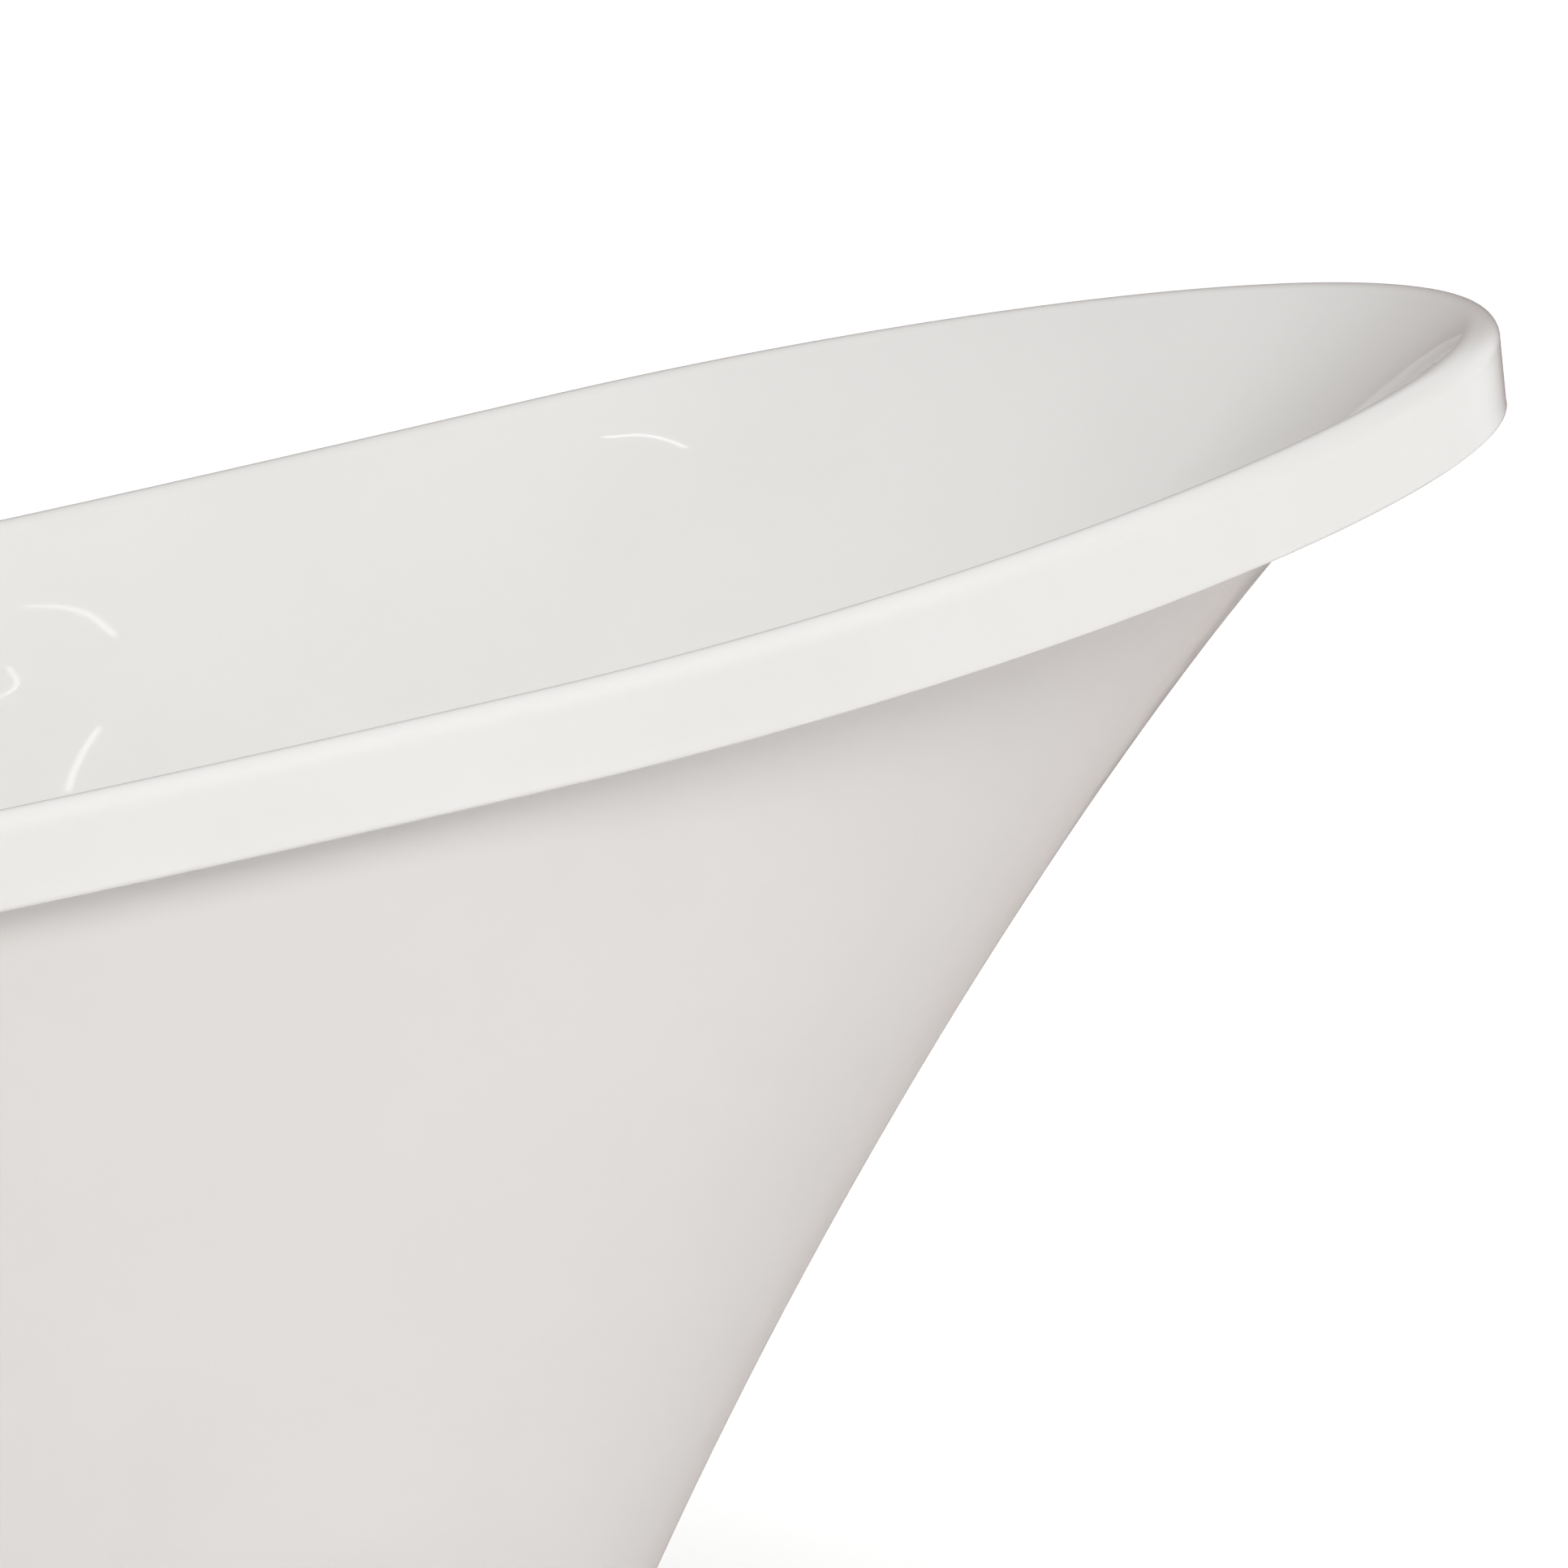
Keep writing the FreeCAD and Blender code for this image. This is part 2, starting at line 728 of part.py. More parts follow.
def plug_pieces():
    """Cap, soft seal, stem and plunger, with the plug shut."""
    crown = cap_low + cap_rise
    cap = turned(((0, cap_low), (cap_radius, cap_low), (cap_radius, cap_low + cap_edge),
                  (cap_radius * cap_shoulder_share, crown - cap_edge / 2),
                  (cap_radius * cap_crown_share, crown), (0, crown)), waste_at)
    seal = tube(cap_radius - cap_edge, stem_radius, seal_low, cap_low, waste_at)
    stem = cylinder(stem_radius, plunger_top, cap_low, waste_at)
    plunger = cylinder(plunger_radius, plunger_low, plunger_top, waste_at)
    return cap, seal, stem, plunger


seal_face = -overflow_seal_inner_depth
plate_face = seal_face - faceplate_thickness


def overflow_faceplate():
    plate = cylinder(faceplate_radius, plate_face, seal_face)
    rim = [e for e in plate.Edges if abs(e.CenterOfMass.z - plate_face) < tangent_step and e.Length > pipe_radius]
    plate = plate.makeChamfer(faceplate_thickness / 2, rim[:1])
    plate = plate.fuse(tube(faceplate_tube_radius, faceplate_tube_radius - faceplate_tube_wall,
                            seal_face, faceplate_tube_reach))
    plate = plate.cut(cylinder(spindle_radius + spindle_running_gap, plate_face - cut_overrun,
                               seal_face + cut_overrun))
    for index in range(inlet_count):
        angle = math.radians(index * 360 / inlet_count)
        spot = V(inlet_track * math.cos(angle), inlet_track * math.sin(angle), 0)
        plate = plate.cut(cylinder(inlet_radius, plate_face - cut_overrun, seal_face + cut_overrun, spot))
    return placed(plate)


def overflow_gaskets():
    """Rings that follow the curved wall on one face and the flat fitting on the other."""
    inner = placed(tube(overflow_seal_radius, overflow_hole_radius, seal_face, seal_conform))
    outer = placed(tube(overflow_seal_radius, overflow_hole_radius, outer_depth - seal_conform, seal_outer_face))
    return inner.common(well_block(-seal_gap)), outer.cut(well_block(outer_depth + seal_gap))


def elbow_neck(radius, start):
    neck = placed(cylinder(radius, start, seal_outer_face + elbow_center_reach))
    return neck.fuse(Part.makeSphere(radius, elbow_center))


def overflow_elbow():
    flange = placed(cylinder(elbow_flange_radius, seal_outer_face, seal_outer_face + elbow_flange_thickness))
    body = flange.fuse(elbow_neck(elbow_radius, seal_outer_face))
    outlet = elbow_center.z - elbow_drop
    at = V(pipe_x, 0, 0)
    body = body.fuse(cylinder(elbow_radius, outlet, elbow_center.z, at))
    body = body.cut(elbow_neck(elbow_inner_radius, seal_outer_face))
    body = body.cut(placed(cylinder(elbow_bore_radius, seal_outer_face - cut_overrun,
                                    faceplate_tube_reach + face_gap)))
    body = body.cut(cylinder(elbow_inner_radius, outlet - cut_overrun, elbow_center.z, at))
    return body.cut(cylinder(pipe_radius + nut_gap, outlet - cut_overrun, outlet + pipe_socket_depth, at))


def bent_rod(radius, x, top, bend, level, end):
    """A rod straight down at x, a quarter bend, then straight along +X to its end."""
    upright = cylinder(radius, level + bend, top, V(x, 0, 0))
    center = V(x + bend, 0, level + bend)
    ring_face = Part.Face(Part.Wire([Part.Circle(V(x, 0, level + bend), UP, radius).toShape()]))
    quarter = ring_face.revolve(center, V(0, -1, 0), 90)
    along = Part.makeCylinder(radius, end - x - bend, V(x + bend, 0, level), V(1, 0, 0))
    return upright.fuse(quarter).fuse(along)


pipe_top = elbow_center.z - elbow_drop + pipe_socket_depth
pipe_end = waste_x - port_reach + pipe_socket_depth


def overflow_pipe():
    outer = bent_rod(pipe_radius, pipe_x, pipe_top, pipe_bend_radius, port_height, pipe_end)
    inner = bent_rod(pipe_radius - pipe_wall, pipe_x, pipe_top + cut_overrun, pipe_bend_radius,
                     port_height, pipe_end + cut_overrun)
    return outer.cut(inner)


def pipe_nuts():
    top = elbow_center.z - elbow_drop - face_gap
    upper = hex_nut(pipe_radius + nut_gap, top - nut_height, top, V(pipe_x, 0, 0))
    lower = hex_nut(pipe_radius + nut_gap, -nut_height, 0, V(0, 0, 0))
    lower.rotate(V(0, 0, 0), V(0, 1, 0), 90)
    lower.translate(V(waste_x - port_reach - face_gap, 0, port_height))
    return upper, lower


def control_cable():
    offset = pipe_radius - pipe_wall - cable_radius - cable_gap
    top = elbow_center.z - cable_top_drop
    return bent_rod(cable_radius, pipe_x - offset, top, pipe_bend_radius + offset, port_height - offset,
                    waste_x - hub_radius - cable_gap)


dial_back = plate_face - dial_gap
dial_front = dial_back - dial_depth
spindle_front = dial_front + 2 * dial_wall


def overflow_dial():
    """A hollow knob over the faceplate, with scallops for wet fingers."""
    knob = cylinder(dial_radius, dial_front, dial_back)
    front = [e for e in knob.Edges if abs(e.CenterOfMass.z - dial_front) < tangent_step and e.Length > dial_radius]
    knob = knob.makeFillet(dial_wall, front[:1])
    hollow = tube(dial_radius - dial_wall - dial_scallop_bite, dial_hub_radius,
                  dial_front + dial_wall, dial_back + cut_overrun)
    knob = knob.cut(hollow)
    track = dial_radius + dial_scallop_radius - dial_scallop_bite
    for index in range(dial_scallop_count):
        angle = math.radians(index * 360 / dial_scallop_count)
        spot = V(track * math.cos(angle), track * math.sin(angle), 0)
        knob = knob.cut(cylinder(dial_scallop_radius, dial_front - cut_overrun, dial_back + cut_overrun, spot))
    return placed(knob.cut(cylinder(spindle_radius, spindle_front, dial_back + cut_overrun)))


def dial_spindle():
    rod = cylinder(spindle_radius, spindle_front, spindle_reach)
    return placed(rod.fuse(cylinder(drum_radius, spindle_reach - drum_height, spindle_reach)))


def main():
    save("bath_shell", bath_shell(bath_shell_blank()))
    save("outer_laminate", bath_shell(laminate_blank()))
    save("base_board", base_board())
    bolts, washers, inserts = foot_fasteners()
    save("foot_bolts", bolts)
    save("foot_washers", washers)
    save("board_inserts", inserts)
    envelope = tub_envelope()
    blank = claw_foot()
    for name, place in foot_places().items():
        save(name, set_foot(blank, place, envelope))
        corner = name.replace("foot_", "")
        under = out_from(place, leg_reach)
        save("leveller_pad_" + corner, leveller_pad(under))
        save("leveller_screw_" + corner, leveller_screw(under))
    save("waste_flange", waste_flange())
    top_gasket, bottom_gasket = waste_gaskets()
    save("waste_gasket_top", top_gasket)
    save("waste_gasket_bottom", bottom_gasket)
    save("waste_body", waste_body())
    save("waste_tail", waste_tail())
    save("tail_nut", tail_nut())
    save("cable_guide", cable_guide())
    cap, seal, stem, plunger = plug_pieces()
    save("plug_cap", cap)
    save("plug_seal", seal)
    save("plug_stem", stem)
    save("cable_plunger", plunger)
    save("overflow_faceplate", overflow_faceplate())
    inner_gasket, outer_gasket = overflow_gaskets()
    save("overflow_gasket_inner", inner_gasket)
    save("overflow_gasket_outer", outer_gasket)
    save("overflow_elbow", overflow_elbow())
    save("overflow_pipe", overflow_pipe())
    upper_nut, lower_nut = pipe_nuts()
    save("pipe_nut_upper", upper_nut)
    save("pipe_nut_lower", lower_nut)
    save("control_cable", control_cable())
    save("overflow_dial", overflow_dial())
    save("dial_spindle", dial_spindle())
    print("overflow centre", overflow_center, "axis", overflow_axis)
    print("waste", waste_at, "port", port_height, "guide step", guide_step, "elbow", elbow_center)
    for name, place in foot_places().items():
        print(name, "ball", out_from(place, leg_reach))


main()
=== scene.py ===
# %% [markdown]
# # A slipper bath on claw feet
#
# This lesson dresses a bath that already exists as solids. The imported solids are the fixed frame:
# every piece made here sits where its solid says, in metres, with the floor at height zero and
# the raised head end towards +X. The first cell loads that frame.

# %% load the frame
import bpy
import json
import math
import numpy as np
from mathutils import Matrix, Vector

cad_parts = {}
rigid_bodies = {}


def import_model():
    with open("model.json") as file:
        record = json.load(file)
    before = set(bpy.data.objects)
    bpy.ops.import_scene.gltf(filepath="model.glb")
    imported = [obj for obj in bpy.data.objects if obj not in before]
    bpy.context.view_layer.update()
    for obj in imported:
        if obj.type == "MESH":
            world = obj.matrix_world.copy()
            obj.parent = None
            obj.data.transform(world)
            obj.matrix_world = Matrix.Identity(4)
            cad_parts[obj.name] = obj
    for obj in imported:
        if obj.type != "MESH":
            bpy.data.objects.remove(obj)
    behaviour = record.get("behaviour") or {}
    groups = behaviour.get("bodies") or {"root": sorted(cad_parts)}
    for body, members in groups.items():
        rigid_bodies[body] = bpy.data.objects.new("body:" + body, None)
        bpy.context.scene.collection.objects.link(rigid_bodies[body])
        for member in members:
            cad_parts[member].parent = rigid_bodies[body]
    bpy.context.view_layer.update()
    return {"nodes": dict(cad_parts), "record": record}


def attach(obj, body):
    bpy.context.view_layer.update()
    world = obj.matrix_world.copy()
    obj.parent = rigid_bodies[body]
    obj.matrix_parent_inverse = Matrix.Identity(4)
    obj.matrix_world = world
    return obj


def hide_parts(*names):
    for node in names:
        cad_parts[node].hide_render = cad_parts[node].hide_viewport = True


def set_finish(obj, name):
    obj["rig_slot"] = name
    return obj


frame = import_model()
bpy.context.scene.view_settings.view_transform = "Standard"

# %% [markdown]
# ## The bath's form
#
# A bath like this is drawn from few lines. Seen from above, the rim is four conic arcs that meet
# at the tips and at the widest station, and the floor is a smaller line of the same kind. The
# wall is one section curve that is stretched between the two. Operators can't bend a mesh to
# such a rule, so the rule is written once here and the mesh is laid on it.

# %% lines of the rim and the floor
TANGENT_STEP = 1e-4
crest_half_length = 0.835
crest_half_width = 0.350
crest_head_reach = 0.436
head_height = 0.790
rim_rise_share = 0.2416
rim_knee_x = -0.115
rim_knee_softness = 0.226
floor_height = 0.150
floor_head_inset = 0.457
floor_foot_inset = 0.190
floor_side_inset = 0.184
floor_head_reach = 0.396
crest_weights = (0.604, 1.0)
floor_weights = (0.72, 0.80)
foot_stations = (0.5, 1.44)


class PlanLine:
    """A closed line seen from above, made of four conic quarters."""

    def __init__(self, head_tip, foot_tip, head_reach, half_width, weights):
        self.widest = head_tip - head_reach
        self.reaches = (head_reach, self.widest - foot_tip)
        self.half_width = half_width
        self.weights = weights
        self.ease_shares = (0.0, 0.0)

    def pace(self, end):
        return self.weights[end] * self.reaches[end]

    def quarter(self, u, end):
        u = u + self.ease_shares[end] * u * u * (1 - u)
        tip = (1 - u) ** 2
        middle = 2 * self.weights[end] * u * (1 - u)
        side = u * u
        total = tip + middle + side
        return self.reaches[end] * (tip + middle) / total, self.half_width * (middle + side) / total

    def points(self, t):
        turn = np.mod(t, 4.0)
        index = np.floor(turn)
        part = turn - index
        u = np.where((index == 0) | (index == 2), part, 1 - part)
        head_x, head_y = self.quarter(u, 0)
        foot_x, foot_y = self.quarter(u, 1)
        at_head = (index == 0) | (index == 3)
        x = self.widest + np.where(at_head, head_x, -foot_x)
        y = np.where(at_head, head_y, foot_y) * np.where(index < 2, 1, -1)
        return np.stack([x, y, np.zeros_like(x)], -1)

    def outward(self, t):
        along = self.points(t + TANGENT_STEP) - self.points(t - TANGENT_STEP)
        normal = np.stack([along[:, 1], -along[:, 0], np.zeros(len(along))], -1)
        return normal / np.linalg.norm(normal, axis=1, keepdims=True)


crest_line = PlanLine(crest_half_length, -crest_half_length, crest_head_reach, crest_half_width,
                      crest_weights)
floor_line = PlanLine(crest_half_length - floor_head_inset, floor_foot_inset - crest_half_length,
                      floor_head_reach, crest_half_width - floor_side_inset, floor_weights)
foot_spots = floor_line.points(np.array(foot_stations))
paces = [floor_line.pace(end) / crest_line.pace(end) for end in (0, 1)]
shared_pace = math.sqrt(paces[0] * paces[1])
floor_line.ease_shares = [1 - shared_pace / pace for pace in paces]
print("widest stations", round(crest_line.widest, 3), round(floor_line.widest, 3))

# %% [markdown]
# The rim climbs towards the head along one soft bend. The wall's section is given as shares:
# how far down, and how far out beyond the floor. The first Bezier curve is the wall and the
# second is the round corner where it turns into the floor.

# %% wall, roll and band
roll_radius = 0.010
band_depth = 0.042
band_draft = 0.0036
sheet_wall = 0.005
wall_poles = ((0.0, 1.0), (0.151, 0.748), (0.57, 0.373), (0.954, 0.138))
corner_poles = ((0.954, 0.138), (0.979, 0.1227), (1.0, 0.07), (1.0, 0.0))
top_slope_share = (wall_poles[0][1] - wall_poles[1][1]) / wall_poles[1][0]
UP = np.array([0.0, 0.0, 1.0])


def rim_rise(x):
    run = x - rim_knee_x
    return rim_rise_share / 2 * (run + np.hypot(run, rim_knee_softness))


def rim_height(x):
    return head_height - rim_rise(crest_half_length) + rim_rise(x)


def bezier(poles, u):
    weights = ((1 - u) ** 3, 3 * u * (1 - u) ** 2, 3 * u * u * (1 - u), u ** 3)
    return [sum(w * pole[axis] for w, pole in zip(weights, poles)) for axis in (0, 1)]


def wall_lean(t):
    edge = crest_line.points(t)
    spread = np.sum((edge - floor_line.points(t)) * crest_line.outward(t), axis=1)
    return np.arctan(top_slope_share * spread / (rim_height(edge[:, 0]) - floor_height))


def rim_ring(t, out, rise):
    edge = crest_line.points(t)
    out = np.broadcast_to(out, len(t))[:, None]
    return edge + crest_line.outward(t) * out + UP * (rim_height(edge[:, 0]) + rise)[:, None]


def roll_ring(t, share, depth):
    angle = share * (np.pi - wall_lean(t))
    radius = roll_radius - depth
    return rim_ring(t, radius * np.cos(angle), radius * np.sin(angle) - roll_radius)


def wet_ring(v, t):
    drop, spread = bezier(wall_poles, v) if v <= 1 else bezier(corner_poles, v - 1)
    top = roll_ring(t, 1.0, 0.0)
    base = floor_line.points(t)
    ring = base + (top * np.array([1.0, 1.0, 0.0]) - base) * spread
    ring[:, 2] = top[:, 2] + (floor_height - top[:, 2]) * drop
    return ring


def wall_normals(v, t):
    down = wet_ring(min(v + TANGENT_STEP, 2.0), t) - wet_ring(max(v - TANGENT_STEP, 0.0), t)
    along = wet_ring(v, t + TANGENT_STEP) - wet_ring(v, t - TANGENT_STEP)
    normal = np.cross(down, along)
    return normal / np.linalg.norm(normal, axis=1, keepdims=True)


def wall_ring(v, t, depth):
    if v >= 2:
        return wet_ring(2.0, t) - UP * depth
    return wet_ring(v, t) + wall_normals(v, t) * depth


head_steps = 56
foot_steps = 72
quarter_steps = (head_steps, foot_steps, foot_steps, head_steps)
stations = np.concatenate([quarter + np.arange(count) / count for quarter, count in enumerate(quarter_steps)])
print("stations round the rim", len(stations))
print("rim height at the foot", round(float(rim_height(-crest_half_length)), 3))

# %% [markdown]
# ## Laying a mesh on the rings
#
# Each skin of the bath is a grid primitive whose rows are laid on rings, one after another, and
# whose open seam is then welded. A grid is used because its rows and columns stay in order, so
# the mesh comes out as clean quads that reflect light without ripples.

# %% a helper that lays a grid on rings
WELD_DISTANCE = 1e-6
SMOOTH_ANGLE = 35.0


def deselect():
    if bpy.context.object and bpy.context.object.mode != "OBJECT":
        bpy.ops.object.mode_set(mode="OBJECT")
    bpy.ops.object.select_all(action="DESELECT")


def pick(pieces):
    """Select these pieces only, with the first one active."""
    deselect()
    for piece in pieces:
        piece.select_set(True)
    bpy.context.view_layer.objects.active = pieces[0]


def open_mesh():
    """Open the mesh of the active piece with all of it selected."""
    bpy.ops.object.mode_set(mode="EDIT")
    bpy.ops.mesh.select_all(action="SELECT")


def close_mesh():
    bpy.ops.object.mode_set(mode="OBJECT")


def weld():
    """Weld the doubled points of the active piece and turn its faces outwards."""
    open_mesh()
    bpy.ops.mesh.remove_doubles(threshold=WELD_DISTANCE)
    bpy.ops.mesh.normals_make_consistent(inside=False)
    close_mesh()


def smooth(piece, angle=SMOOTH_ANGLE):
    pick([piece])
    bpy.ops.object.shade_smooth_by_angle(angle=math.radians(angle))


def skin_from_rings(name, rings, close_section=False):
    """A welded skin: every ring is closed, and the last ring may join the first."""
    rows = rings + rings[:1] if close_section else rings
    across = len(rows[0])
    along = len(rows) - 1
    deselect()
    bpy.ops.mesh.primitive_grid_add(x_subdivisions=across, y_subdivisions=along, size=1)
    piece = bpy.context.object
    piece.name = name
    for vertex in piece.data.vertices:
        column = round((vertex.co.x + 0.5) * across) % across
        row = round((vertex.co.y + 0.5) * along)
        vertex.co = rows[row][column]
    weld()
    print(name, "faces", len(piece.data.polygons))
    return piece


# %% [markdown]
# ## The acrylic shell
#
# The real shell is one heated sheet drawn into a mould: floor, wall, a tight roll over the top
# and a band that hangs down outside. Its mesh follows the sheet right round: up the outside of
# the band, over the roll, down the wall, across the floor to the waste hole, and back behind
# itself one sheet thickness away.

# %% bath shell
waste_x = -0.55
waste_center = np.array([waste_x, 0.0, 0.0])
waste_hole_radius = 0.023
lip_radius = 0.0016
lip_outer_turns = (89, 60, 30, 0)
lip_inner_turns = (180, 150, 120, 91)
band_outer_shares = (0.08, 0.3, 0.6, 0.85)
band_inner_shares = (0.3, 0.7, 0.92)
roll_steps = 14
wall_steps = 40
corner_steps = 14
floor_steps = 12
hidden_roll_steps = 9
hidden_wall_steps = 20
hidden_corner_steps = 8


def evenly(first, last, steps):
    """Places from first to last, both counted, in equal steps."""
    return np.linspace(first, last, steps + 1)


def floor_rings(t, height, steps):
    """Rings from the floor's edge to the waste hole."""
    edge = floor_line.points(t)
    away = edge - waste_center
    hole = waste_center + away / np.linalg.norm(away, axis=1, keepdims=True) * waste_hole_radius
    return [edge + (hole - edge) * share + UP * height for share in evenly(0, 1, steps)[1:]]


def lip_rings(t, out, turns):
    """The rounded lower edge of the band: a half turn from one face to the other."""
    middle = out - sheet_wall / 2
    rings = []
    for angle in np.radians(turns):
        side = math.copysign(1, math.cos(angle)) * (sheet_wall / 2 - lip_radius)
        rings.append(rim_ring(t, middle + side + lip_radius * math.cos(angle),
                              -band_depth + lip_radius - lip_radius * math.sin(angle)))
    return rings


def shell_rings(t):
    rings = lip_rings(t, roll_radius + band_draft, lip_outer_turns)
    rings += [rim_ring(t, roll_radius + band_draft * (1 - s), -band_depth + (band_depth - roll_radius) * s)
              for s in band_outer_shares]
    rings += [roll_ring(t, s, 0.0) for s in evenly(0, 1, roll_steps)[:-1]]
    rings += [wall_ring(v, t, 0.0) for v in evenly(0, 1, wall_steps)]
    rings += [wall_ring(v, t, 0.0) for v in evenly(1, 2, corner_steps)[1:]]
    rings += floor_rings(t, floor_height, floor_steps)
    rings += floor_rings(t, floor_height - sheet_wall, floor_steps)[::-1]
    rings += [wall_ring(v, t, sheet_wall) for v in evenly(2, 1, hidden_corner_steps)]
    rings += [wall_ring(v, t, sheet_wall) for v in evenly(1, 0, hidden_wall_steps)[1:-1]]
    rings += [roll_ring(t, s, sheet_wall) for s in evenly(1, 0, hidden_roll_steps)]
    reach = roll_radius - sheet_wall
    rings += [rim_ring(t, reach + band_draft * s, -roll_radius - (band_depth - roll_radius) * s)
              for s in band_inner_shares]
    return rings + lip_rings(t, roll_radius + band_draft, lip_inner_turns)


bath_shell = skin_from_rings("acrylic_shell", shell_rings(stations), close_section=True)
smooth(bath_shell)
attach(bath_shell, "tub")
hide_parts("bath_shell")
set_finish(bath_shell, "white_acrylic")

# %% [markdown]
# Behind the sheet the maker sprays glass fibre and a white coat. It stops just under the roll,
# so that the band hangs clear of it, and it wraps under the floor.

# %% outer laminate
laminate_gap = 0.0003
laminate_wall = 0.0042
laminate_top_share = 0.06
bonded_wall_steps = 15
bonded_floor_steps = 8


def laminate_rings(t):
    front = sheet_wall + laminate_gap
    back = front + laminate_wall
    rings = [wall_ring(v, t, front) for v in evenly(laminate_top_share, 1, bonded_wall_steps)]
    rings += [wall_ring(v, t, front) for v in evenly(1, 2, hidden_corner_steps)[1:]]
    rings += floor_rings(t, floor_height - front, bonded_floor_steps)
    rings += floor_rings(t, floor_height - back, floor_steps)[::-1]
    rings += [wall_ring(v, t, back) for v in evenly(2, 1, corner_steps)]
    rings += [wall_ring(v, t, back) for v in evenly(1, laminate_top_share, wall_steps)[1:]]
    return rings


laminate = skin_from_rings("outer_coat", laminate_rings(stations), close_section=True)
smooth(laminate)
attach(laminate, "tub")
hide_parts("outer_laminate")
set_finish(laminate, "white_gelcoat")

# %% [markdown]
# ## The overflow hole
#
# The overflow goes square through the wall at the foot end. A hole through a curved double skin
# is cut as a maker cuts it, with a round cutter: a cylinder is added along the overflow's axis
# and a Boolean modifier takes it away from both skins. The faceplate and the seals hide the edge.

# %% a helper that cuts, and the overflow hole
overflow_at = Vector((-0.774711, 0.0, 0.462461))
overflow_out = Vector((-0.909164, 0.0, -0.416439))
overflow_hole_radius = 0.021
cutter_length = 0.06
cutter_sides = 64
UPRIGHT = Vector((0.0, 0.0, 1.0))


def apply_place():
    """Take the place, turn and size of the active piece into its mesh."""
    bpy.ops.object.transform_apply(location=True, rotation=True, scale=True)


def round_cutter(radius, length, at, way=UPRIGHT, sides=cutter_sides):
    deselect()
    turn = UPRIGHT.rotation_difference(way).to_euler()
    bpy.ops.mesh.primitive_cylinder_add(vertices=sides, radius=radius, depth=length,
                                        location=at, rotation=turn)
    apply_place()
    return bpy.context.object


def carve(piece, cutter, operation="DIFFERENCE", keep_cutter=False):
    """Cut a piece with another closed piece."""
    pick([piece])
    cut = piece.modifiers.new("cut", "BOOLEAN")
    cut.operation = operation
    cut.solver = "EXACT"
    cut.object = cutter
    bpy.ops.object.modifier_apply(modifier=cut.name)
    if not keep_cutter:
        bpy.data.objects.remove(cutter, do_unlink=True)


for skin in (bath_shell, laminate):
    carve(skin, round_cutter(overflow_hole_radius, cutter_length, overflow_at, overflow_out))
    smooth(skin)
    print(skin.name, "faces with the hole", len(skin.data.polygons))

# %% [markdown]
# ## One claw foot
#
# Such a foot is one casting: a flat tongue that bolts to the board, a bent leg with a leaf on its
# knee, and a ball held by four toes. The parts are made apart and then melted into one skin by a
# voxel Remesh, which leaves the soft hollows that a casting has where its parts meet. The foot is
# made once, pointing along +X from the floor's edge, and set four times.

# %% the leg with its leaf
leg_reach = 0.098
leg_top_height = 0.224
knee_depth = 0.027
knee_width = 0.040
leg_section_shares = np.array((
    (1.00, 0.60, 0.42, 0.36),
    (0.90, 0.64, 0.86, 0.80),
    (0.73, 0.72, 1.00, 1.00),
    (0.56, 0.83, 0.82, 0.78),
    (0.43, 0.92, 0.56, 0.52),
    (0.33, 0.98, 0.60, 0.56),
))
leg_sides = 160
leg_rows = 150
leg_angles = np.linspace(-math.pi, math.pi, leg_sides, endpoint=False)
leaf_top = 0.55
leaf_tip = 3.9
leaf_half_angle = 1.30
leaf_start_share = 0.12
leaf_swell_powers = (0.8, 0.7)
leaf_lobes = 4.5
leaf_lobe_share = 0.20
leaf_edge_share = 0.22
leaf_rise = 0.0026
vein_depth = 0.0016
vein_slant_share = 0.10
vein_power = 3
vein_fade = 4
rib_height = 0.0012
rib_half_angle = 0.11


def between(rows, u):
    """A row of values at a place along a list of rows, without corners."""
    first = int(min(math.floor(u), len(rows) - 2))
    f = u - first
    before, here, there, after = (rows[min(max(first + k, 0), len(rows) - 1)] for k in (-1, 0, 1, 2))
    slope_here = (there - before) / 2
    slope_there = (after - here) / 2
    return (here * (1 - f) ** 2 * (1 + 2 * f) + there * f * f * (3 - 2 * f)
            + slope_here * f * (1 - f) ** 2 - slope_there * f * f * (1 - f))


def leaf_height(angle, u):
    """How far the carved leaf stands out of the knee: lobes at its edge, veins and a middle rib."""
    along = (u - leaf_top) / (leaf_tip - leaf_top)
    if along <= 0 or along >= 1:
        return np.zeros_like(angle)
    begun = leaf_start_share + (1 - leaf_start_share) * along
    swell = math.sin(math.pi * begun ** leaf_swell_powers[0]) ** leaf_swell_powers[1]
    lobe = (1 - leaf_lobe_share) + leaf_lobe_share * abs(math.cos(math.pi * leaf_lobes * along))
    across = np.abs(angle) / (leaf_half_angle * swell * lobe)
    body = np.clip((1 - across) / leaf_edge_share, 0, 1)
    body = body * body * (3 - 2 * body)
    wave = np.cos(2 * math.pi * leaf_lobes * (along + vein_slant_share * across))
    vein = (0.5 + 0.5 * wave) ** vein_power
    rib = np.exp(-(angle / rib_half_angle) ** 2)
    return body * (leaf_rise - vein_depth * vein * np.clip(across * vein_fade, 0, 1) + rib_height * rib)


def leg_ring(u):
    height, reach, depth, width = between(leg_section_shares, u)
    half_x = depth * knee_depth
    half_y = width * knee_width
    normal = np.stack([np.cos(leg_angles) / half_x, np.sin(leg_angles) / half_y], -1)
    normal /= np.linalg.norm(normal, axis=1, keepdims=True)
    raised = leaf_height(leg_angles, u)
    x = reach * leg_reach + half_x * np.cos(leg_angles) + normal[:, 0] * raised
    y = half_y * np.sin(leg_angles) + normal[:, 1] * raised
    return np.stack([x, y, np.full_like(x, height * leg_top_height)], -1)


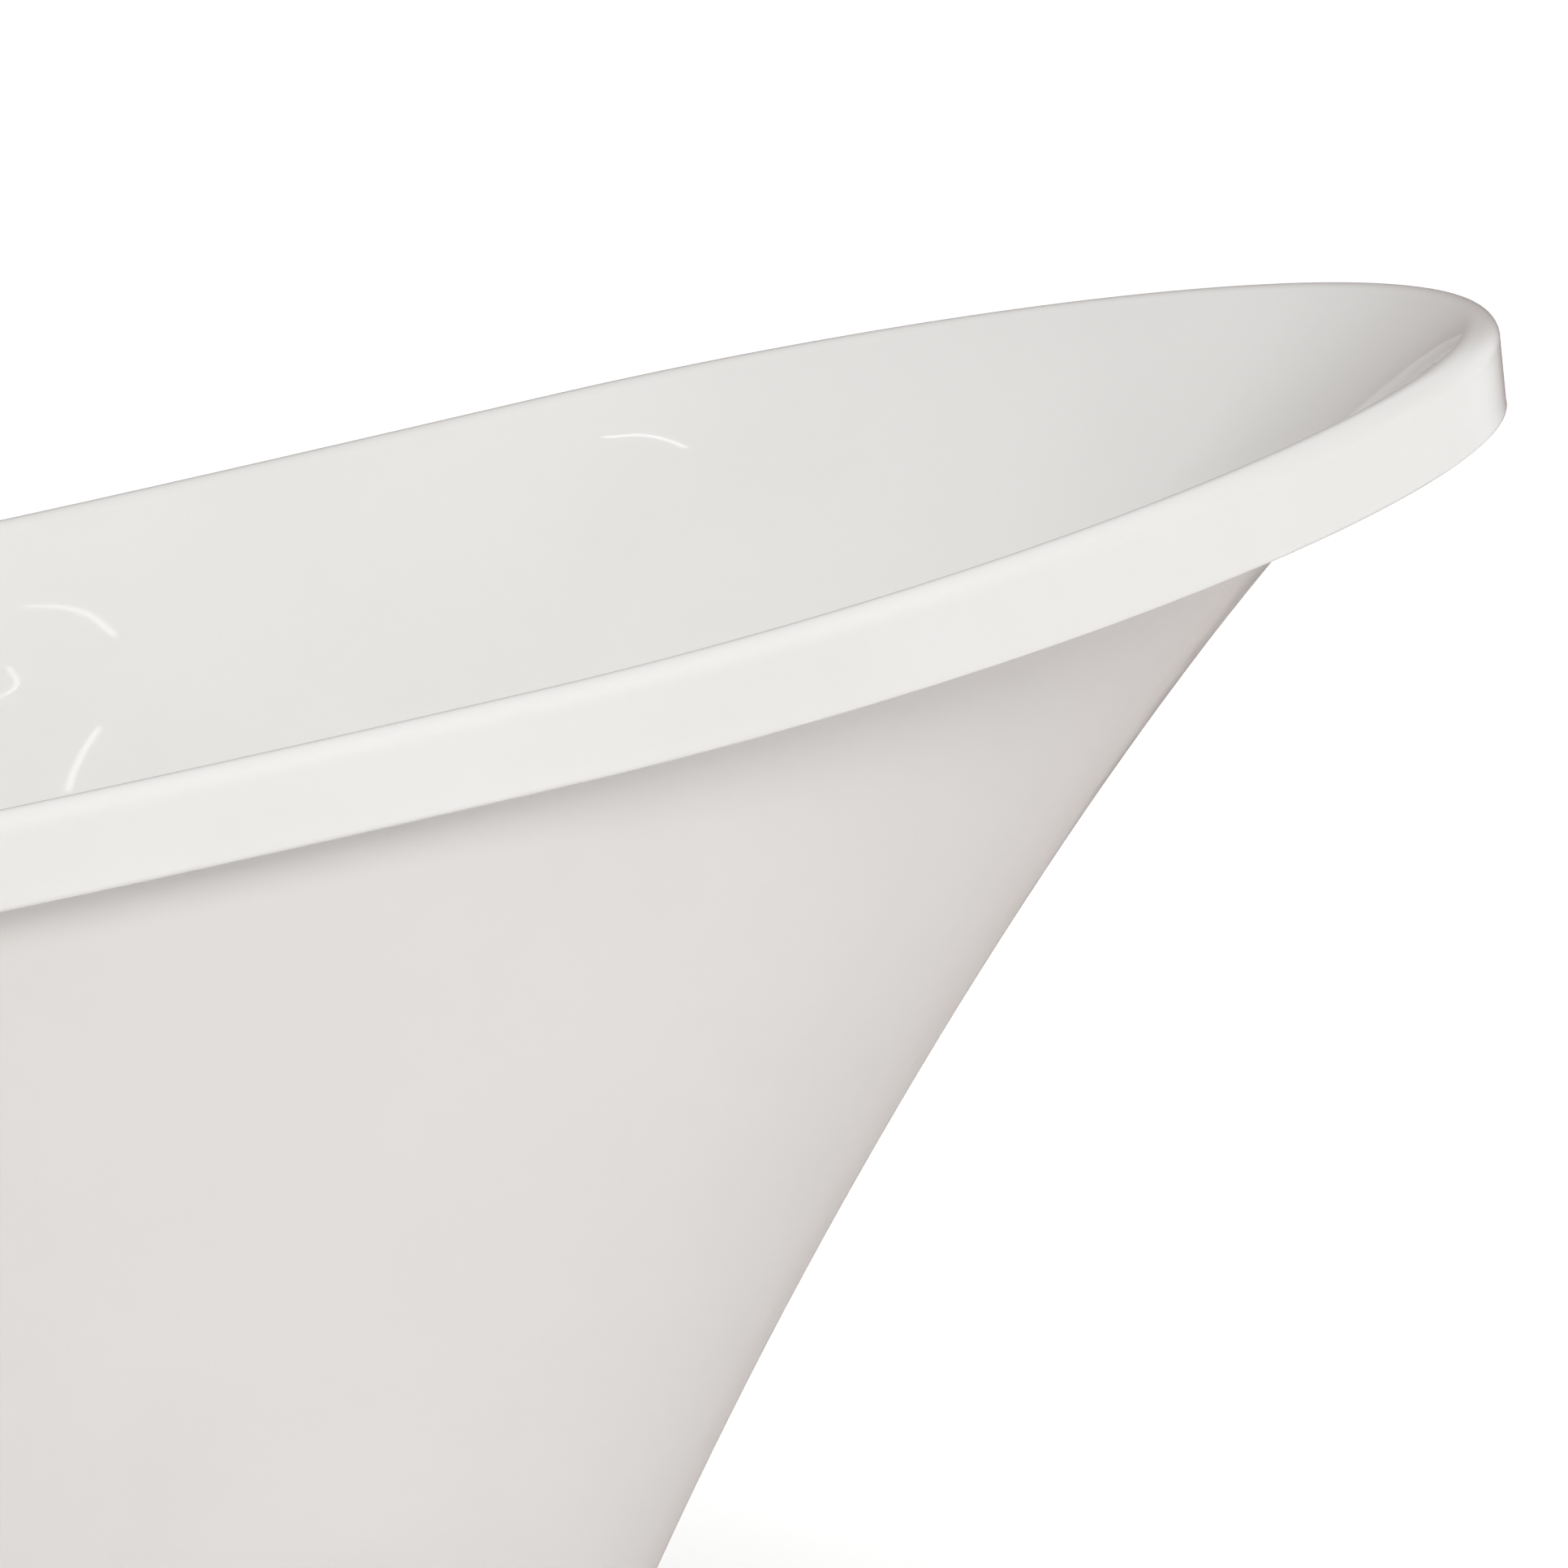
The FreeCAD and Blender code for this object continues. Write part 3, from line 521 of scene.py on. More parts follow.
def closed_rings(rings):
    """Rings with a point at each end, so that the skin is closed."""
    first = np.repeat(rings[0].mean(axis=0, keepdims=True), len(rings[0]), axis=0)
    last = np.repeat(rings[-1].mean(axis=0, keepdims=True), len(rings[0]), axis=0)
    return [first] + rings + [last]


leg_places = np.linspace(0, len(leg_section_shares) - 1, leg_rows)
leg = skin_from_rings("leg", closed_rings([leg_ring(u) for u in leg_places]))

# %% [markdown]
# The toes are bent tubes whose thickness swells at the knuckles and runs out in a nail. A Bezier
# curve with a radius at each knot gives that directly. The ball is a sphere, and the tongue is a
# block with two rounded corners.

# %% ball, toes and tongue
ball_radius = 0.030
ball_center_height = 0.048
ball_sides = 64
ball_rows = 40
toe_angles = (-64.0, 0.0, 64.0, 180.0)
toe_knots = (
    (84.0, 0.0310, 0.0080),
    (60.0, 0.0300, 0.0096),
    (38.0, 0.0288, 0.0072),
    (14.0, 0.0288, 0.0090),
    (-8.0, 0.0290, 0.0062),
    (-20.0, 0.0300, 0.0072),
    (-35.0, 0.0306, 0.0046),
    (-47.0, 0.0312, 0.0010),
)
tongue_inner_reach = 0.078
tongue_width = 0.058
tongue_low = 0.1142
tongue_high = 0.1222
tongue_corner_radius = 0.014
tongue_corner_steps = 8
tongue_section = 3
tube_rounding = 6


def bent_tube(name, points, radii):
    """A tube through the points, as thick at each point as its radius says."""
    deselect()
    bpy.ops.curve.primitive_bezier_curve_add()
    tube = bpy.context.object
    tube.name = name
    spline = tube.data.splines[0]
    spline.bezier_points.add(len(points) - len(spline.bezier_points))
    spline.radius_interpolation = "CARDINAL"
    for knot, point, radius in zip(spline.bezier_points, points, radii):
        knot.handle_left_type = "AUTO"
        knot.handle_right_type = "AUTO"
        knot.co = point
        knot.radius = radius / max(radii)
    tube.location = (0.0, 0.0, 0.0)
    tube.data.bevel_depth = max(radii)
    tube.data.bevel_resolution = tube_rounding
    tube.data.use_fill_caps = True
    bpy.ops.object.convert(target="MESH")
    weld()
    return tube


def toe(angle):
    way = Vector((math.cos(math.radians(angle)), math.sin(math.radians(angle)), 0.0))
    points = [ball_center + way * (reach * math.cos(math.radians(lift)))
              + UPRIGHT * (reach * math.sin(math.radians(lift))) for lift, reach, _ in toe_knots]
    return bent_tube("toe", points, [radius for _, _, radius in toe_knots])


ball_center = Vector((leg_reach, 0.0, ball_center_height))
deselect()
bpy.ops.mesh.primitive_uv_sphere_add(segments=ball_sides, ring_count=ball_rows, radius=ball_radius,
                                     location=ball_center)
ball = bpy.context.object
apply_place()
toes = [toe(angle) for angle in toe_angles]

tongue_outer_reach = leg_section_shares[tongue_section][1] * leg_reach
tongue_thickness = tongue_high - tongue_low
tongue_middle = ((tongue_outer_reach - tongue_inner_reach) / 2, 0.0, (tongue_low + tongue_high) / 2)
deselect()
bpy.ops.mesh.primitive_cube_add(size=1.0, location=tongue_middle)
tongue = bpy.context.object
tongue.scale = (tongue_outer_reach + tongue_inner_reach, tongue_width, tongue_thickness)
apply_place()
bpy.ops.object.mode_set(mode="EDIT")
bpy.ops.mesh.select_all(action="DESELECT")
bpy.ops.mesh.select_mode(type="EDGE")
close_mesh()
for edge in tongue.data.edges:
    ends = [tongue.data.vertices[i].co for i in edge.vertices]
    upright = abs(ends[0].z - ends[1].z) > tongue_thickness / 2
    edge.select = upright and all(end.x < 0 for end in ends)
bpy.ops.object.mode_set(mode="EDIT")
bpy.ops.mesh.bevel(offset=tongue_corner_radius, segments=tongue_corner_steps, affect="EDGES")
close_mesh()
print("toes", len(toes), "tongue corners", len(tongue.data.vertices))

# %% [markdown]
# The parts are joined, melted together and smoothed a little. Then the casting is machined: the
# ball is cut flat underneath, the leveller's thread is bored up the ball and two bolt holes go
# through the tongue.

# %% cast and machine the foot
cast_voxel = 0.0011
settle_factor = 0.5
settle_rounds = 4
ball_flat_height = 0.020
screw_radius = 0.005
screw_play = 0.0002
screw_well_top = 0.072
bolt_radius = 0.004
bolt_clearance = 0.0005
bolt_sides = 32
bolt_offsets = (-0.018, -0.054)

pick([leg, ball, tongue] + toes)
bpy.ops.object.join()
cast = leg.modifiers.new("cast", "REMESH")
cast.mode = "VOXEL"
cast.voxel_size = cast_voxel
bpy.ops.object.modifier_apply(modifier=cast.name)
settle = leg.modifiers.new("settle", "SMOOTH")
settle.factor = settle_factor
settle.iterations = settle_rounds
bpy.ops.object.modifier_apply(modifier=settle.name)
open_mesh()
bpy.ops.mesh.bisect(plane_co=(0.0, 0.0, ball_flat_height), plane_no=UPRIGHT, use_fill=True,
                    clear_inner=True)
close_mesh()
carve(leg, round_cutter(screw_radius + screw_play, 2 * screw_well_top, (leg_reach, 0.0, 0.0)))
for offset in bolt_offsets:
    carve(leg, round_cutter(bolt_radius + bolt_clearance, cutter_length, (offset, 0.0, tongue_low),
                            sides=bolt_sides))
print("cast foot faces", len(leg.data.polygons))

# %% [markdown]
# Each foot is scribed to the bath: it is cut by a block that has the form of the bath's outside,
# and by a slab where the board lies. Both blocks are skins laid on rings like the bath itself.

# %% set the four feet
seat_depth = 0.0098
seat_top_share = 0.3
seat_steps = 23
board_bottom = tongue_high
foot_splay = 38.0
cast_smooth_angle = 40.0


def copy_of(piece, name):
    pick([piece])
    bpy.ops.object.duplicate(linked=False)
    copy = bpy.context.object
    copy.name = name
    return copy


seat_places = np.concatenate([evenly(seat_top_share, 1, seat_steps), evenly(1, 2, corner_steps)[1:]])
bath_block = skin_from_rings("bath_block", closed_rings(
    [wall_ring(v, stations, seat_depth) for v in seat_places]))
slab_edge = floor_line.points(stations)
board_slab = skin_from_rings("board_slab", closed_rings(
    [slab_edge + UP * height for height in (board_bottom, floor_height - seat_depth + lip_radius)]))
foot_places = {}
for end, spot, turn in (("head", foot_spots[0], -1), ("tail", foot_spots[1], 1)):
    for side, sign in (("left", 1), ("right", -1)):
        foot_places[end + "_" + side] = (Vector((spot[0], sign * spot[1], 0.0)),
                                         math.radians(sign * (90 + turn * foot_splay)))
for corner, (spot, angle) in foot_places.items():
    foot = copy_of(leg, "claw_foot_" + corner)
    foot.matrix_world = Matrix.Translation(spot) @ Matrix.Rotation(angle, 4, "Z")
    apply_place()
    carve(foot, bath_block, keep_cutter=True)
    carve(foot, board_slab, keep_cutter=True)
    smooth(foot, cast_smooth_angle)
    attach(foot, "tub")
    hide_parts("foot_" + corner)
    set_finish(foot, "cast_chrome")
    print(foot.name, "faces", len(foot.data.polygons))
for done in (leg, bath_block, board_slab):
    bpy.data.objects.remove(done, do_unlink=True)

# %% [markdown]
# ## Turned pieces
#
# Rings, caps and pads come off a lathe. Here a circle stands for the first point of the outline,
# and each further point is one extrusion that is scaled to its radius. Open ends are filled.

# %% a helper that turns a piece
turned_sides = 96
ripple_power = 1.5


def turned(name, outline, sides=turned_sides, closed=False):
    """A turned piece about the upright axis from pairs of radius and height."""
    radius, height = outline[0]
    deselect()
    bpy.ops.mesh.primitive_circle_add(vertices=sides, radius=radius, location=(0.0, 0.0, height))
    piece = bpy.context.object
    piece.name = name
    apply_place()
    open_mesh()
    for next_radius, next_height in list(outline[1:]) + (list(outline[:1]) if closed else []):
        share = next_radius / radius
        step = (0.0, 0.0, next_height - height)
        bpy.ops.mesh.extrude_region_move(TRANSFORM_OT_translate={"value": step})
        bpy.ops.transform.resize(value=(share, share, 1.0), center_override=(0.0, 0.0, next_height))
        radius, height = next_radius, next_height
    bpy.ops.mesh.select_all(action="SELECT")
    bpy.ops.mesh.remove_doubles(threshold=WELD_DISTANCE)
    bpy.ops.mesh.fill_holes(sides=0)
    bpy.ops.mesh.select_all(action="SELECT")
    bpy.ops.mesh.normals_make_consistent(inside=False)
    close_mesh()
    return piece


def ripple(piece, from_radius, depth, count):
    """Shallow hollows round the outside, for a grip."""
    for vertex in piece.data.vertices:
        radius = math.hypot(vertex.co.x, vertex.co.y)
        if radius > from_radius:
            turn = math.atan2(vertex.co.y, vertex.co.x)
            share = 1 - depth * (0.5 + 0.5 * math.cos(count * turn)) ** ripple_power / radius
            vertex.co.x *= share
            vertex.co.y *= share


def settle_in(piece, place, body, node, slot):
    """Move a finished piece to its place and say what it stands for."""
    pick([piece])
    piece.matrix_world = place
    apply_place()
    smooth(piece)
    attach(piece, body)
    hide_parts(node)
    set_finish(piece, slot)
    print(piece.name, "faces", len(piece.data.polygons))


# %% [markdown]
# The waste flange is a pressed ring with a tube below it, and the plug's cap is a shallow dome.
# The dial is a hollow knob with eight hollows round its edge for wet fingers. Each outline is a
# list of radius and height, and follows the section from one end to the other.

# %% flange and cap
flange_tube_low = 0.1038
flange_low = 0.1515
flange_top = 0.1545
flange_outline = (
    (0.0198, flange_tube_low), (0.0220, flange_tube_low), (0.0220, flange_low), (0.0345, flange_low),
    (0.0350, 0.1519), (0.0350, 0.1527), (0.0347, 0.1534), (0.0340, 0.1540), (0.0330, 0.1544),
    (0.0318, flange_top), (0.0276, flange_top), (0.0266, 0.1542), (0.0256, 0.1536), (0.0198, 0.1506))
waste_place = Matrix.Translation(Vector((waste_x, 0.0, 0.0)))
flange = turned("waste_ring", flange_outline, closed=True)
settle_in(flange, waste_place, "tub", "waste_flange", "chrome")

cap_low = 0.1572
cap_radius = 0.031
cap_edge = 0.0026
cap_rise = 0.0070
cap_side = ((0.0298, 0.0), (0.0306, 0.0002), (cap_radius, 0.0007), (cap_radius, 0.0019), (0.0308, 0.0024))
dome_share = 0.985
dome_first_angle = 86
dome_last_angle = 4
dome_rows = 12
dome_angles = np.radians(np.linspace(dome_first_angle, dome_last_angle, dome_rows))
cap_outline = [(radius, cap_low + rise) for radius, rise in cap_side]
cap_outline += [(cap_radius * dome_share * math.sin(angle),
                 cap_low + cap_edge + (cap_rise - cap_edge) * math.cos(angle)) for angle in dome_angles]
cap = turned("plug_dome", cap_outline + [(0.0, cap_low + cap_rise)])
settle_in(cap, waste_place, "plug", "plug_cap", "chrome")

# %% dial
dial_front = -0.026
dial_back = -0.009
dial_inside = -0.023
dial_radius = 0.033
dial_outline = (
    (0.0050, -0.0200), (0.0050, dial_back), (0.0085, dial_back), (0.0085, dial_inside),
    (0.0274, dial_inside), (0.0274, dial_back), (0.0324, dial_back), (dial_radius, -0.0096),
    (dial_radius, -0.0140), (dial_radius, -0.0185), (dial_radius, -0.0226), (0.0327, -0.0241),
    (0.0319, -0.0252), (0.0306, -0.0258), (0.0290, dial_front), (0.0250, -0.02595), (0.0238, -0.0256),
    (0.0228, -0.0250), (0.0216, -0.0247), (0.0200, -0.0246), (0.0120, -0.0252), (0.0060, -0.02555),
    (0.0, -0.0257))
dial_sides = 192
dial_grip_from = 0.0289
dial_hollow_depth = 0.0026
dial_hollows = 8
overflow_turn = UPRIGHT.rotation_difference(overflow_out).to_matrix().to_4x4()
dial = turned("finger_dial", dial_outline, sides=dial_sides)
ripple(dial, dial_grip_from, dial_hollow_depth, dial_hollows)
settle_in(dial, Matrix.Translation(overflow_at) @ overflow_turn, "dial", "overflow_dial", "chrome")

# %% [markdown]
# Each foot stands on a nylon pad with a ribbed edge. The levelling screw turns in the pad and in
# the ball; its thread is a skin laid on rings whose radius follows the helix.

# %% pad and thread
pad_radius = 0.019
pad_top = 0.0117
pad_bore = 0.00406
pad_outline = (
    (pad_bore, 0.0060), (pad_bore, pad_top), (0.0164, pad_top), (0.0172, 0.0114), (0.0188, 0.0099),
    (pad_radius, 0.0094), (pad_radius, 0.0052), (pad_radius, 0.0014), (0.0186, 0.0005), (0.0178, 0.0))
pad_sides = 144
pad_rib_from = 0.0187
pad_rib_depth = 0.0006
pad_ribs = 24
pad = turned("pad", pad_outline, sides=pad_sides)
ripple(pad, pad_rib_from, pad_rib_depth, pad_ribs)

thread_pitch = 0.0015
thread_depth = 0.0008
thread_low = 0.0197
thread_high = 0.0580
thread_sides = 36
thread_run_out = 0.0012
thread_rows_each_turn = 8
join_overlap = 0.0005
thread_angles = np.linspace(0, 2 * math.pi, thread_sides, endpoint=False)


def thread_ring(height):
    run = np.mod(height / thread_pitch - thread_angles / (2 * math.pi), 1.0)
    radius = screw_radius - thread_depth * np.abs(2 * run - 1)
    end = min(thread_high - height, thread_run_out) - thread_run_out
    radius = np.minimum(radius, screw_radius + end)
    return np.stack([radius * np.cos(thread_angles), radius * np.sin(thread_angles),
                     np.full(thread_sides, height)], -1)


thread_heights = np.arange(thread_low - join_overlap, thread_high, thread_pitch / thread_rows_each_turn)
thread = skin_from_rings("thread", closed_rings([thread_ring(height) for height in thread_heights]))

# %% [markdown]
# Screws, nuts and bolts share one six-sided block. Its corners are turned off with a lens-shaped
# cutter, which leaves the curved edges that real fasteners have.

# %% levelling screws, and pads and screws set in place
hex_fall_share = 0.62
hex_waist_share = 0.975
lens_width_share = 1.01
lens_overlap = 0.0002


def hex_block(name, flats, low, high):
    """A six-sided block with its corners turned off at both ends."""
    corner = flats / math.sqrt(3)
    deselect()
    bpy.ops.mesh.primitive_cylinder_add(vertices=6, radius=corner, depth=high - low,
                                        location=(0.0, 0.0, (low + high) / 2))
    block = bpy.context.object
    block.name = name
    apply_place()
    fall = (corner - flats / 2) * hex_fall_share
    waist = flats / 2 * hex_waist_share
    middle = corner * lens_width_share
    lens = turned("lens", ((waist, low - lens_overlap), (middle, low + fall), (middle, high - fall),
                           (waist, high + lens_overlap)))
    carve(block, lens, "INTERSECT")
    return block


screw_hex_flats = 0.014
screw_hex_low = 0.012
peg_radius = 0.004
peg_low = 0.006
peg_chamfer = 0.0006
peg_tip_share = 0.85
peg_outline = ((peg_radius * peg_tip_share, peg_low), (peg_radius, peg_low + peg_chamfer),
               (peg_radius, screw_hex_low + join_overlap))
screw = hex_block("screw", screw_hex_flats, screw_hex_low, thread_low)
peg = turned("peg", peg_outline, sides=thread_sides)
pick([screw, thread, peg])
bpy.ops.object.join()
print("screw faces", len(screw.data.polygons))

for corner, (spot, angle) in foot_places.items():
    stand = Matrix.Translation(spot + Vector((math.cos(angle), math.sin(angle), 0.0)) * leg_reach)
    for source, name, body, node, slot in (
            (pad, "ribbed_pad_", "pad_", "leveller_pad_", "pad_nylon"),
            (screw, "level_screw_", "screw_", "leveller_screw_", "zinc_steel")):
        settle_in(copy_of(source, name + corner), stand, body + corner, node + corner, slot)
for done in (pad, screw):
    bpy.data.objects.remove(done, do_unlink=True)

# %% [markdown]
# ## Nuts and bolts
#
# A nut is the six-sided block with a bore, and its sharp edges are broken with a Bevel. A bolt is
# the same block with a shank; all eight bolts are joined, since they stand for one node.

# %% nuts
nut_height = 0.015
nut_edge = 0.0003
nut_edge_steps = 2
pipe_nut_flats = 0.0484
pipe_nut_bore = 0.0192
tail_nut_flats = 0.0476
tail_nut_bore = 0.0188
pipe_x = -0.818806
upper_nut_low = 0.384964
lower_nut_x = -0.5903
port_height = 0.0875
tail_nut_low = 0.0462


def hex_nut(name, flats, bore):
    nut = hex_block(name, flats, 0.0, nut_height)
    carve(nut, round_cutter(bore, cutter_length, (0.0, 0.0, nut_height / 2)))
    edge = nut.modifiers.new("edge", "BEVEL")
    edge.width = nut_edge
    edge.segments = nut_edge_steps
    edge.limit_method = "ANGLE"
    bpy.ops.object.modifier_apply(modifier=edge.name)
    return nut


sideways = Matrix.Rotation(math.pi / 2, 4, "Y")
upper_place = Matrix.Translation(Vector((pipe_x, 0.0, upper_nut_low)))
lower_place = Matrix.Translation(Vector((lower_nut_x - nut_height, 0.0, port_height))) @ sideways
outlet_place = Matrix.Translation(Vector((waste_x, 0.0, tail_nut_low)))
for name, flats, bore, place, node in (
        ("upper_nut", pipe_nut_flats, pipe_nut_bore, upper_place, "pipe_nut_upper"),
        ("lower_nut", pipe_nut_flats, pipe_nut_bore, lower_place, "pipe_nut_lower"),
        ("outlet_nut", tail_nut_flats, tail_nut_bore, outlet_place, "tail_nut")):
    settle_in(hex_nut(name, flats, bore), place, "tub", node, "chrome")

# %% bolts
bolt_head_flats = 0.013
bolt_head_low = 0.1073
bolt_head_high = 0.1126
bolt_end = 0.1362
bolt_chamfer = 0.0008
bolt_tip_share = 0.8
shank_outline = ((bolt_radius, bolt_head_high - join_overlap), (bolt_radius, bolt_end - bolt_chamfer),
                 (bolt_radius * bolt_tip_share, bolt_end))
bolt = hex_block("bolt", bolt_head_flats, bolt_head_low, bolt_head_high)
carve(bolt, turned("shank", shank_outline, sides=bolt_sides), "UNION")
bolts = []
for spot, angle in foot_places.values():
    for offset in bolt_offsets:
        copy = copy_of(bolt, "bolt")
        hole = Matrix.Translation(Vector((offset, 0.0, 0.0)))
        copy.matrix_world = Matrix.Translation(spot) @ Matrix.Rotation(angle, 4, "Z") @ hole
        apply_place()
        bolts.append(copy)
bpy.data.objects.remove(bolt, do_unlink=True)
pick(bolts)
bpy.ops.object.join()
bolts[0].name = "hex_bolts"
settle_in(bolts[0], Matrix.Identity(4), "tub", "foot_bolts", "zinc_steel")

# %% [markdown]
# ## Finishes
#
# Gloss acrylic is white right through, so its colour hardly changes, but a drawn sheet is never
# optically flat: long soft waves bend its reflections a little. Both come from noise on the
# object's own coordinates. The metals differ in how even their gloss is: turned brass and zinc
# are duller and uneven, plated castings are bright with a faint orange-peel.

# %% helpers for nodes
WHITE = (1.0, 1.0, 1.0, 1.0)
ramp_shares = (0.35, 0.65)
noise_detail = 3.0
noise_roughness = 0.5


def add_node(tree, kind, inputs=None, **settings):
    """A node whose inputs are plain values or other nodes' outputs."""
    made = tree.nodes.new("ShaderNode" + kind)
    for key, value in settings.items():
        setattr(made, key, value)
    for key, value in (inputs or {}).items():
        if isinstance(value, bpy.types.NodeSocket):
            tree.links.new(value, made.inputs[key])
        else:
            made.inputs[key].default_value = value
    return made


def arithmetic(tree, operation, *values):
    return add_node(tree, "Math", dict(enumerate(values)), operation=operation).outputs[0]


def own_place(tree):
    return add_node(tree, "TexCoord").outputs["Object"]


def noise(tree, scale):
    return add_node(tree, "TexNoise", {"Vector": own_place(tree), "Scale": scale, "Detail": noise_detail,
                                       "Roughness": noise_roughness}).outputs["Fac"]


def ramp(tree, source, low, high):
    spread = add_node(tree, "ValToRGB", {"Fac": source})
    for element, share, color in zip(spread.color_ramp.elements, ramp_shares, (low, high)):
        element.position = share
        element.color = color
    return spread.outputs["Color"]


def grey(value):
    return (value, value, value, 1.0)


# %% [markdown]
# Every slot of the frame gets one finish: two colours between which it drifts, the least and the
# most roughness, and the scales of the noise for both. The bump gives the scale, the height and
# the strength of the fine surface. The board is particle board: pale and dark wood chips pressed
# together under a sealing coat.

# %% finishes for every slot
drift_scales = (6.0, 40.0)
chip_scale = 240.0
chip_colors = ((0.52, 0.47, 0.39, 1), (0.70, 0.66, 0.58, 1))
chip_height = 0.0006
chip_strength = 0.5
seal_scale = 90.0
seal_rough = (0.55, 0.80)


def new_material(name):
    material = bpy.data.materials.new(name)
    material.use_nodes = True
    return material, material.node_tree


def finish(name, low, high, rough, metallic=0.0, scales=drift_scales, bump=None):
    """A finish with drifting colour, uneven gloss and a fine surface."""
    material, tree = new_material(name)
    shader = tree.nodes["Principled BSDF"].inputs
    shader["Metallic"].default_value = metallic
    tree.links.new(ramp(tree, noise(tree, scales[0]), low, high), shader["Base Color"])
    tree.links.new(ramp(tree, noise(tree, scales[1]), grey(rough[0]), grey(rough[1])), shader["Roughness"])
    if bump:
        scale, height, strength = bump
        fine = {"Height": noise(tree, scale), "Distance": height, "Strength": strength}
        tree.links.new(add_node(tree, "Bump", fine).outputs["Normal"], shader["Normal"])
    return material


def pressed_chips(name):
    material, tree = new_material(name)
    shader = tree.nodes["Principled BSDF"].inputs
    chips = add_node(tree, "TexVoronoi", {"Vector": own_place(tree), "Scale": chip_scale}).outputs
    tree.links.new(ramp(tree, chips["Color"], *chip_colors), shader["Base Color"])
    gloss = ramp(tree, noise(tree, seal_scale), grey(seal_rough[0]), grey(seal_rough[1]))
    tree.links.new(gloss, shader["Roughness"])
    fine = {"Height": chips["Distance"], "Distance": chip_height, "Strength": chip_strength}
    tree.links.new(add_node(tree, "Bump", fine).outputs["Normal"], shader["Normal"])
    return material


finishes = {
    "white_acrylic": finish("gloss_acrylic", (0.80, 0.80, 0.785, 1), (0.82, 0.82, 0.805, 1), (0.025, 0.045),
                            bump=(5.0, 0.0004, 0.10)),
    "white_gelcoat": finish("white_spray_coat", (0.79, 0.785, 0.77, 1), (0.81, 0.805, 0.79, 1), (0.14, 0.20),
                            bump=(14.0, 0.0008, 0.2)),
    "chrome": finish("polished_chrome", (0.70, 0.71, 0.73, 1), (0.78, 0.79, 0.80, 1), (0.03, 0.08),
                     metallic=1.0, scales=(30.0, 120.0)),
    "cast_chrome": finish("plated_casting", (0.66, 0.67, 0.69, 1), (0.77, 0.78, 0.79, 1), (0.05, 0.13),
                          metallic=1.0, scales=(45.0, 160.0), bump=(420.0, 0.0003, 0.25)),
    "zinc_steel": finish("bright_zinc", (0.52, 0.54, 0.57, 1), (0.66, 0.66, 0.64, 1), (0.24, 0.42),
                         metallic=1.0, scales=(130.0, 260.0), bump=(900.0, 0.0002, 0.3)),
    "black_rubber": finish("soft_rubber", (0.016, 0.016, 0.017, 1), (0.034, 0.033, 0.033, 1), (0.50, 0.72),
                           scales=(160.0, 300.0), bump=(1400.0, 0.0002, 0.3)),
    "white_moulding": finish("satin_moulding", (0.74, 0.74, 0.71, 1), (0.80, 0.80, 0.77, 1), (0.34, 0.48),
                             scales=(60.0, 220.0), bump=(1100.0, 0.0001, 0.3)),
    "brass_rod": finish("turned_brass", (0.58, 0.42, 0.17, 1), (0.72, 0.54, 0.24, 1), (0.18, 0.34),
                        metallic=1.0, scales=(140.0, 500.0), bump=(1600.0, 0.0001, 0.3)),
    "cable_sheath": finish("matt_sheath", (0.020, 0.020, 0.022, 1), (0.040, 0.040, 0.043, 1), (0.48, 0.66),
                           scales=(90.0, 260.0), bump=(900.0, 0.0002, 0.3)),
    "pad_nylon": finish("ribbed_nylon", (0.024, 0.024, 0.024, 1), (0.046, 0.045, 0.044, 1), (0.36, 0.54),
                        scales=(120.0, 280.0), bump=(1200.0, 0.0002, 0.3)),
    "board": pressed_chips("pressed_chip_board"),
}

for row in frame["record"]["subparts"]:
    node = frame["nodes"][row["node"]]
    coat = finishes[row["material_slot"]]
    for place in node.material_slots:
        place.material = coat
    if not node.material_slots:
        node.data.materials.append(coat)
for piece in list(bpy.data.objects):
    if "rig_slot" in piece:
        piece.data.materials.clear()
        piece.data.materials.append(finishes[piece["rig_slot"]])
print("finishes", len(finishes))

# %% [markdown]
# ## Floor, light and camera
#
# The background is white paper. The floor shows as white to the camera and in reflections, and
# still takes the bath's shadow: it glows less near the bath, where its own shaded colour shows.

# %% floor
paper_color = (0.82, 0.80, 0.795, 1.0)
glow_form = (0.6, 1.0, 1.0)
glow_near = 0.4
glow_far = 6.0
glow_near_level = 0.50
glow_far_level = 0.95
glow_levels_between = ((0.10, 0.68), (0.35, 0.86))
floor_shade = 0.55
floor_size = 26.0


def seen_directly(tree):
    """One for rays from the camera, mirrors and glass, and zero for the light that lights the bath."""
    path = add_node(tree, "LightPath").outputs
    either = arithmetic(tree, "MAXIMUM", path["Is Camera Ray"], path["Is Glossy Ray"])
    return arithmetic(tree, "MAXIMUM", either, path["Is Transmission Ray"])


def bare_material(name):
    """A material without its usual shader."""
    material, tree = new_material(name)
    tree.nodes.remove(tree.nodes["Principled BSDF"])
    return material, tree


def show(tree, shader):
    tree.links.new(shader.outputs[0], tree.nodes["Material Output"].inputs["Surface"])


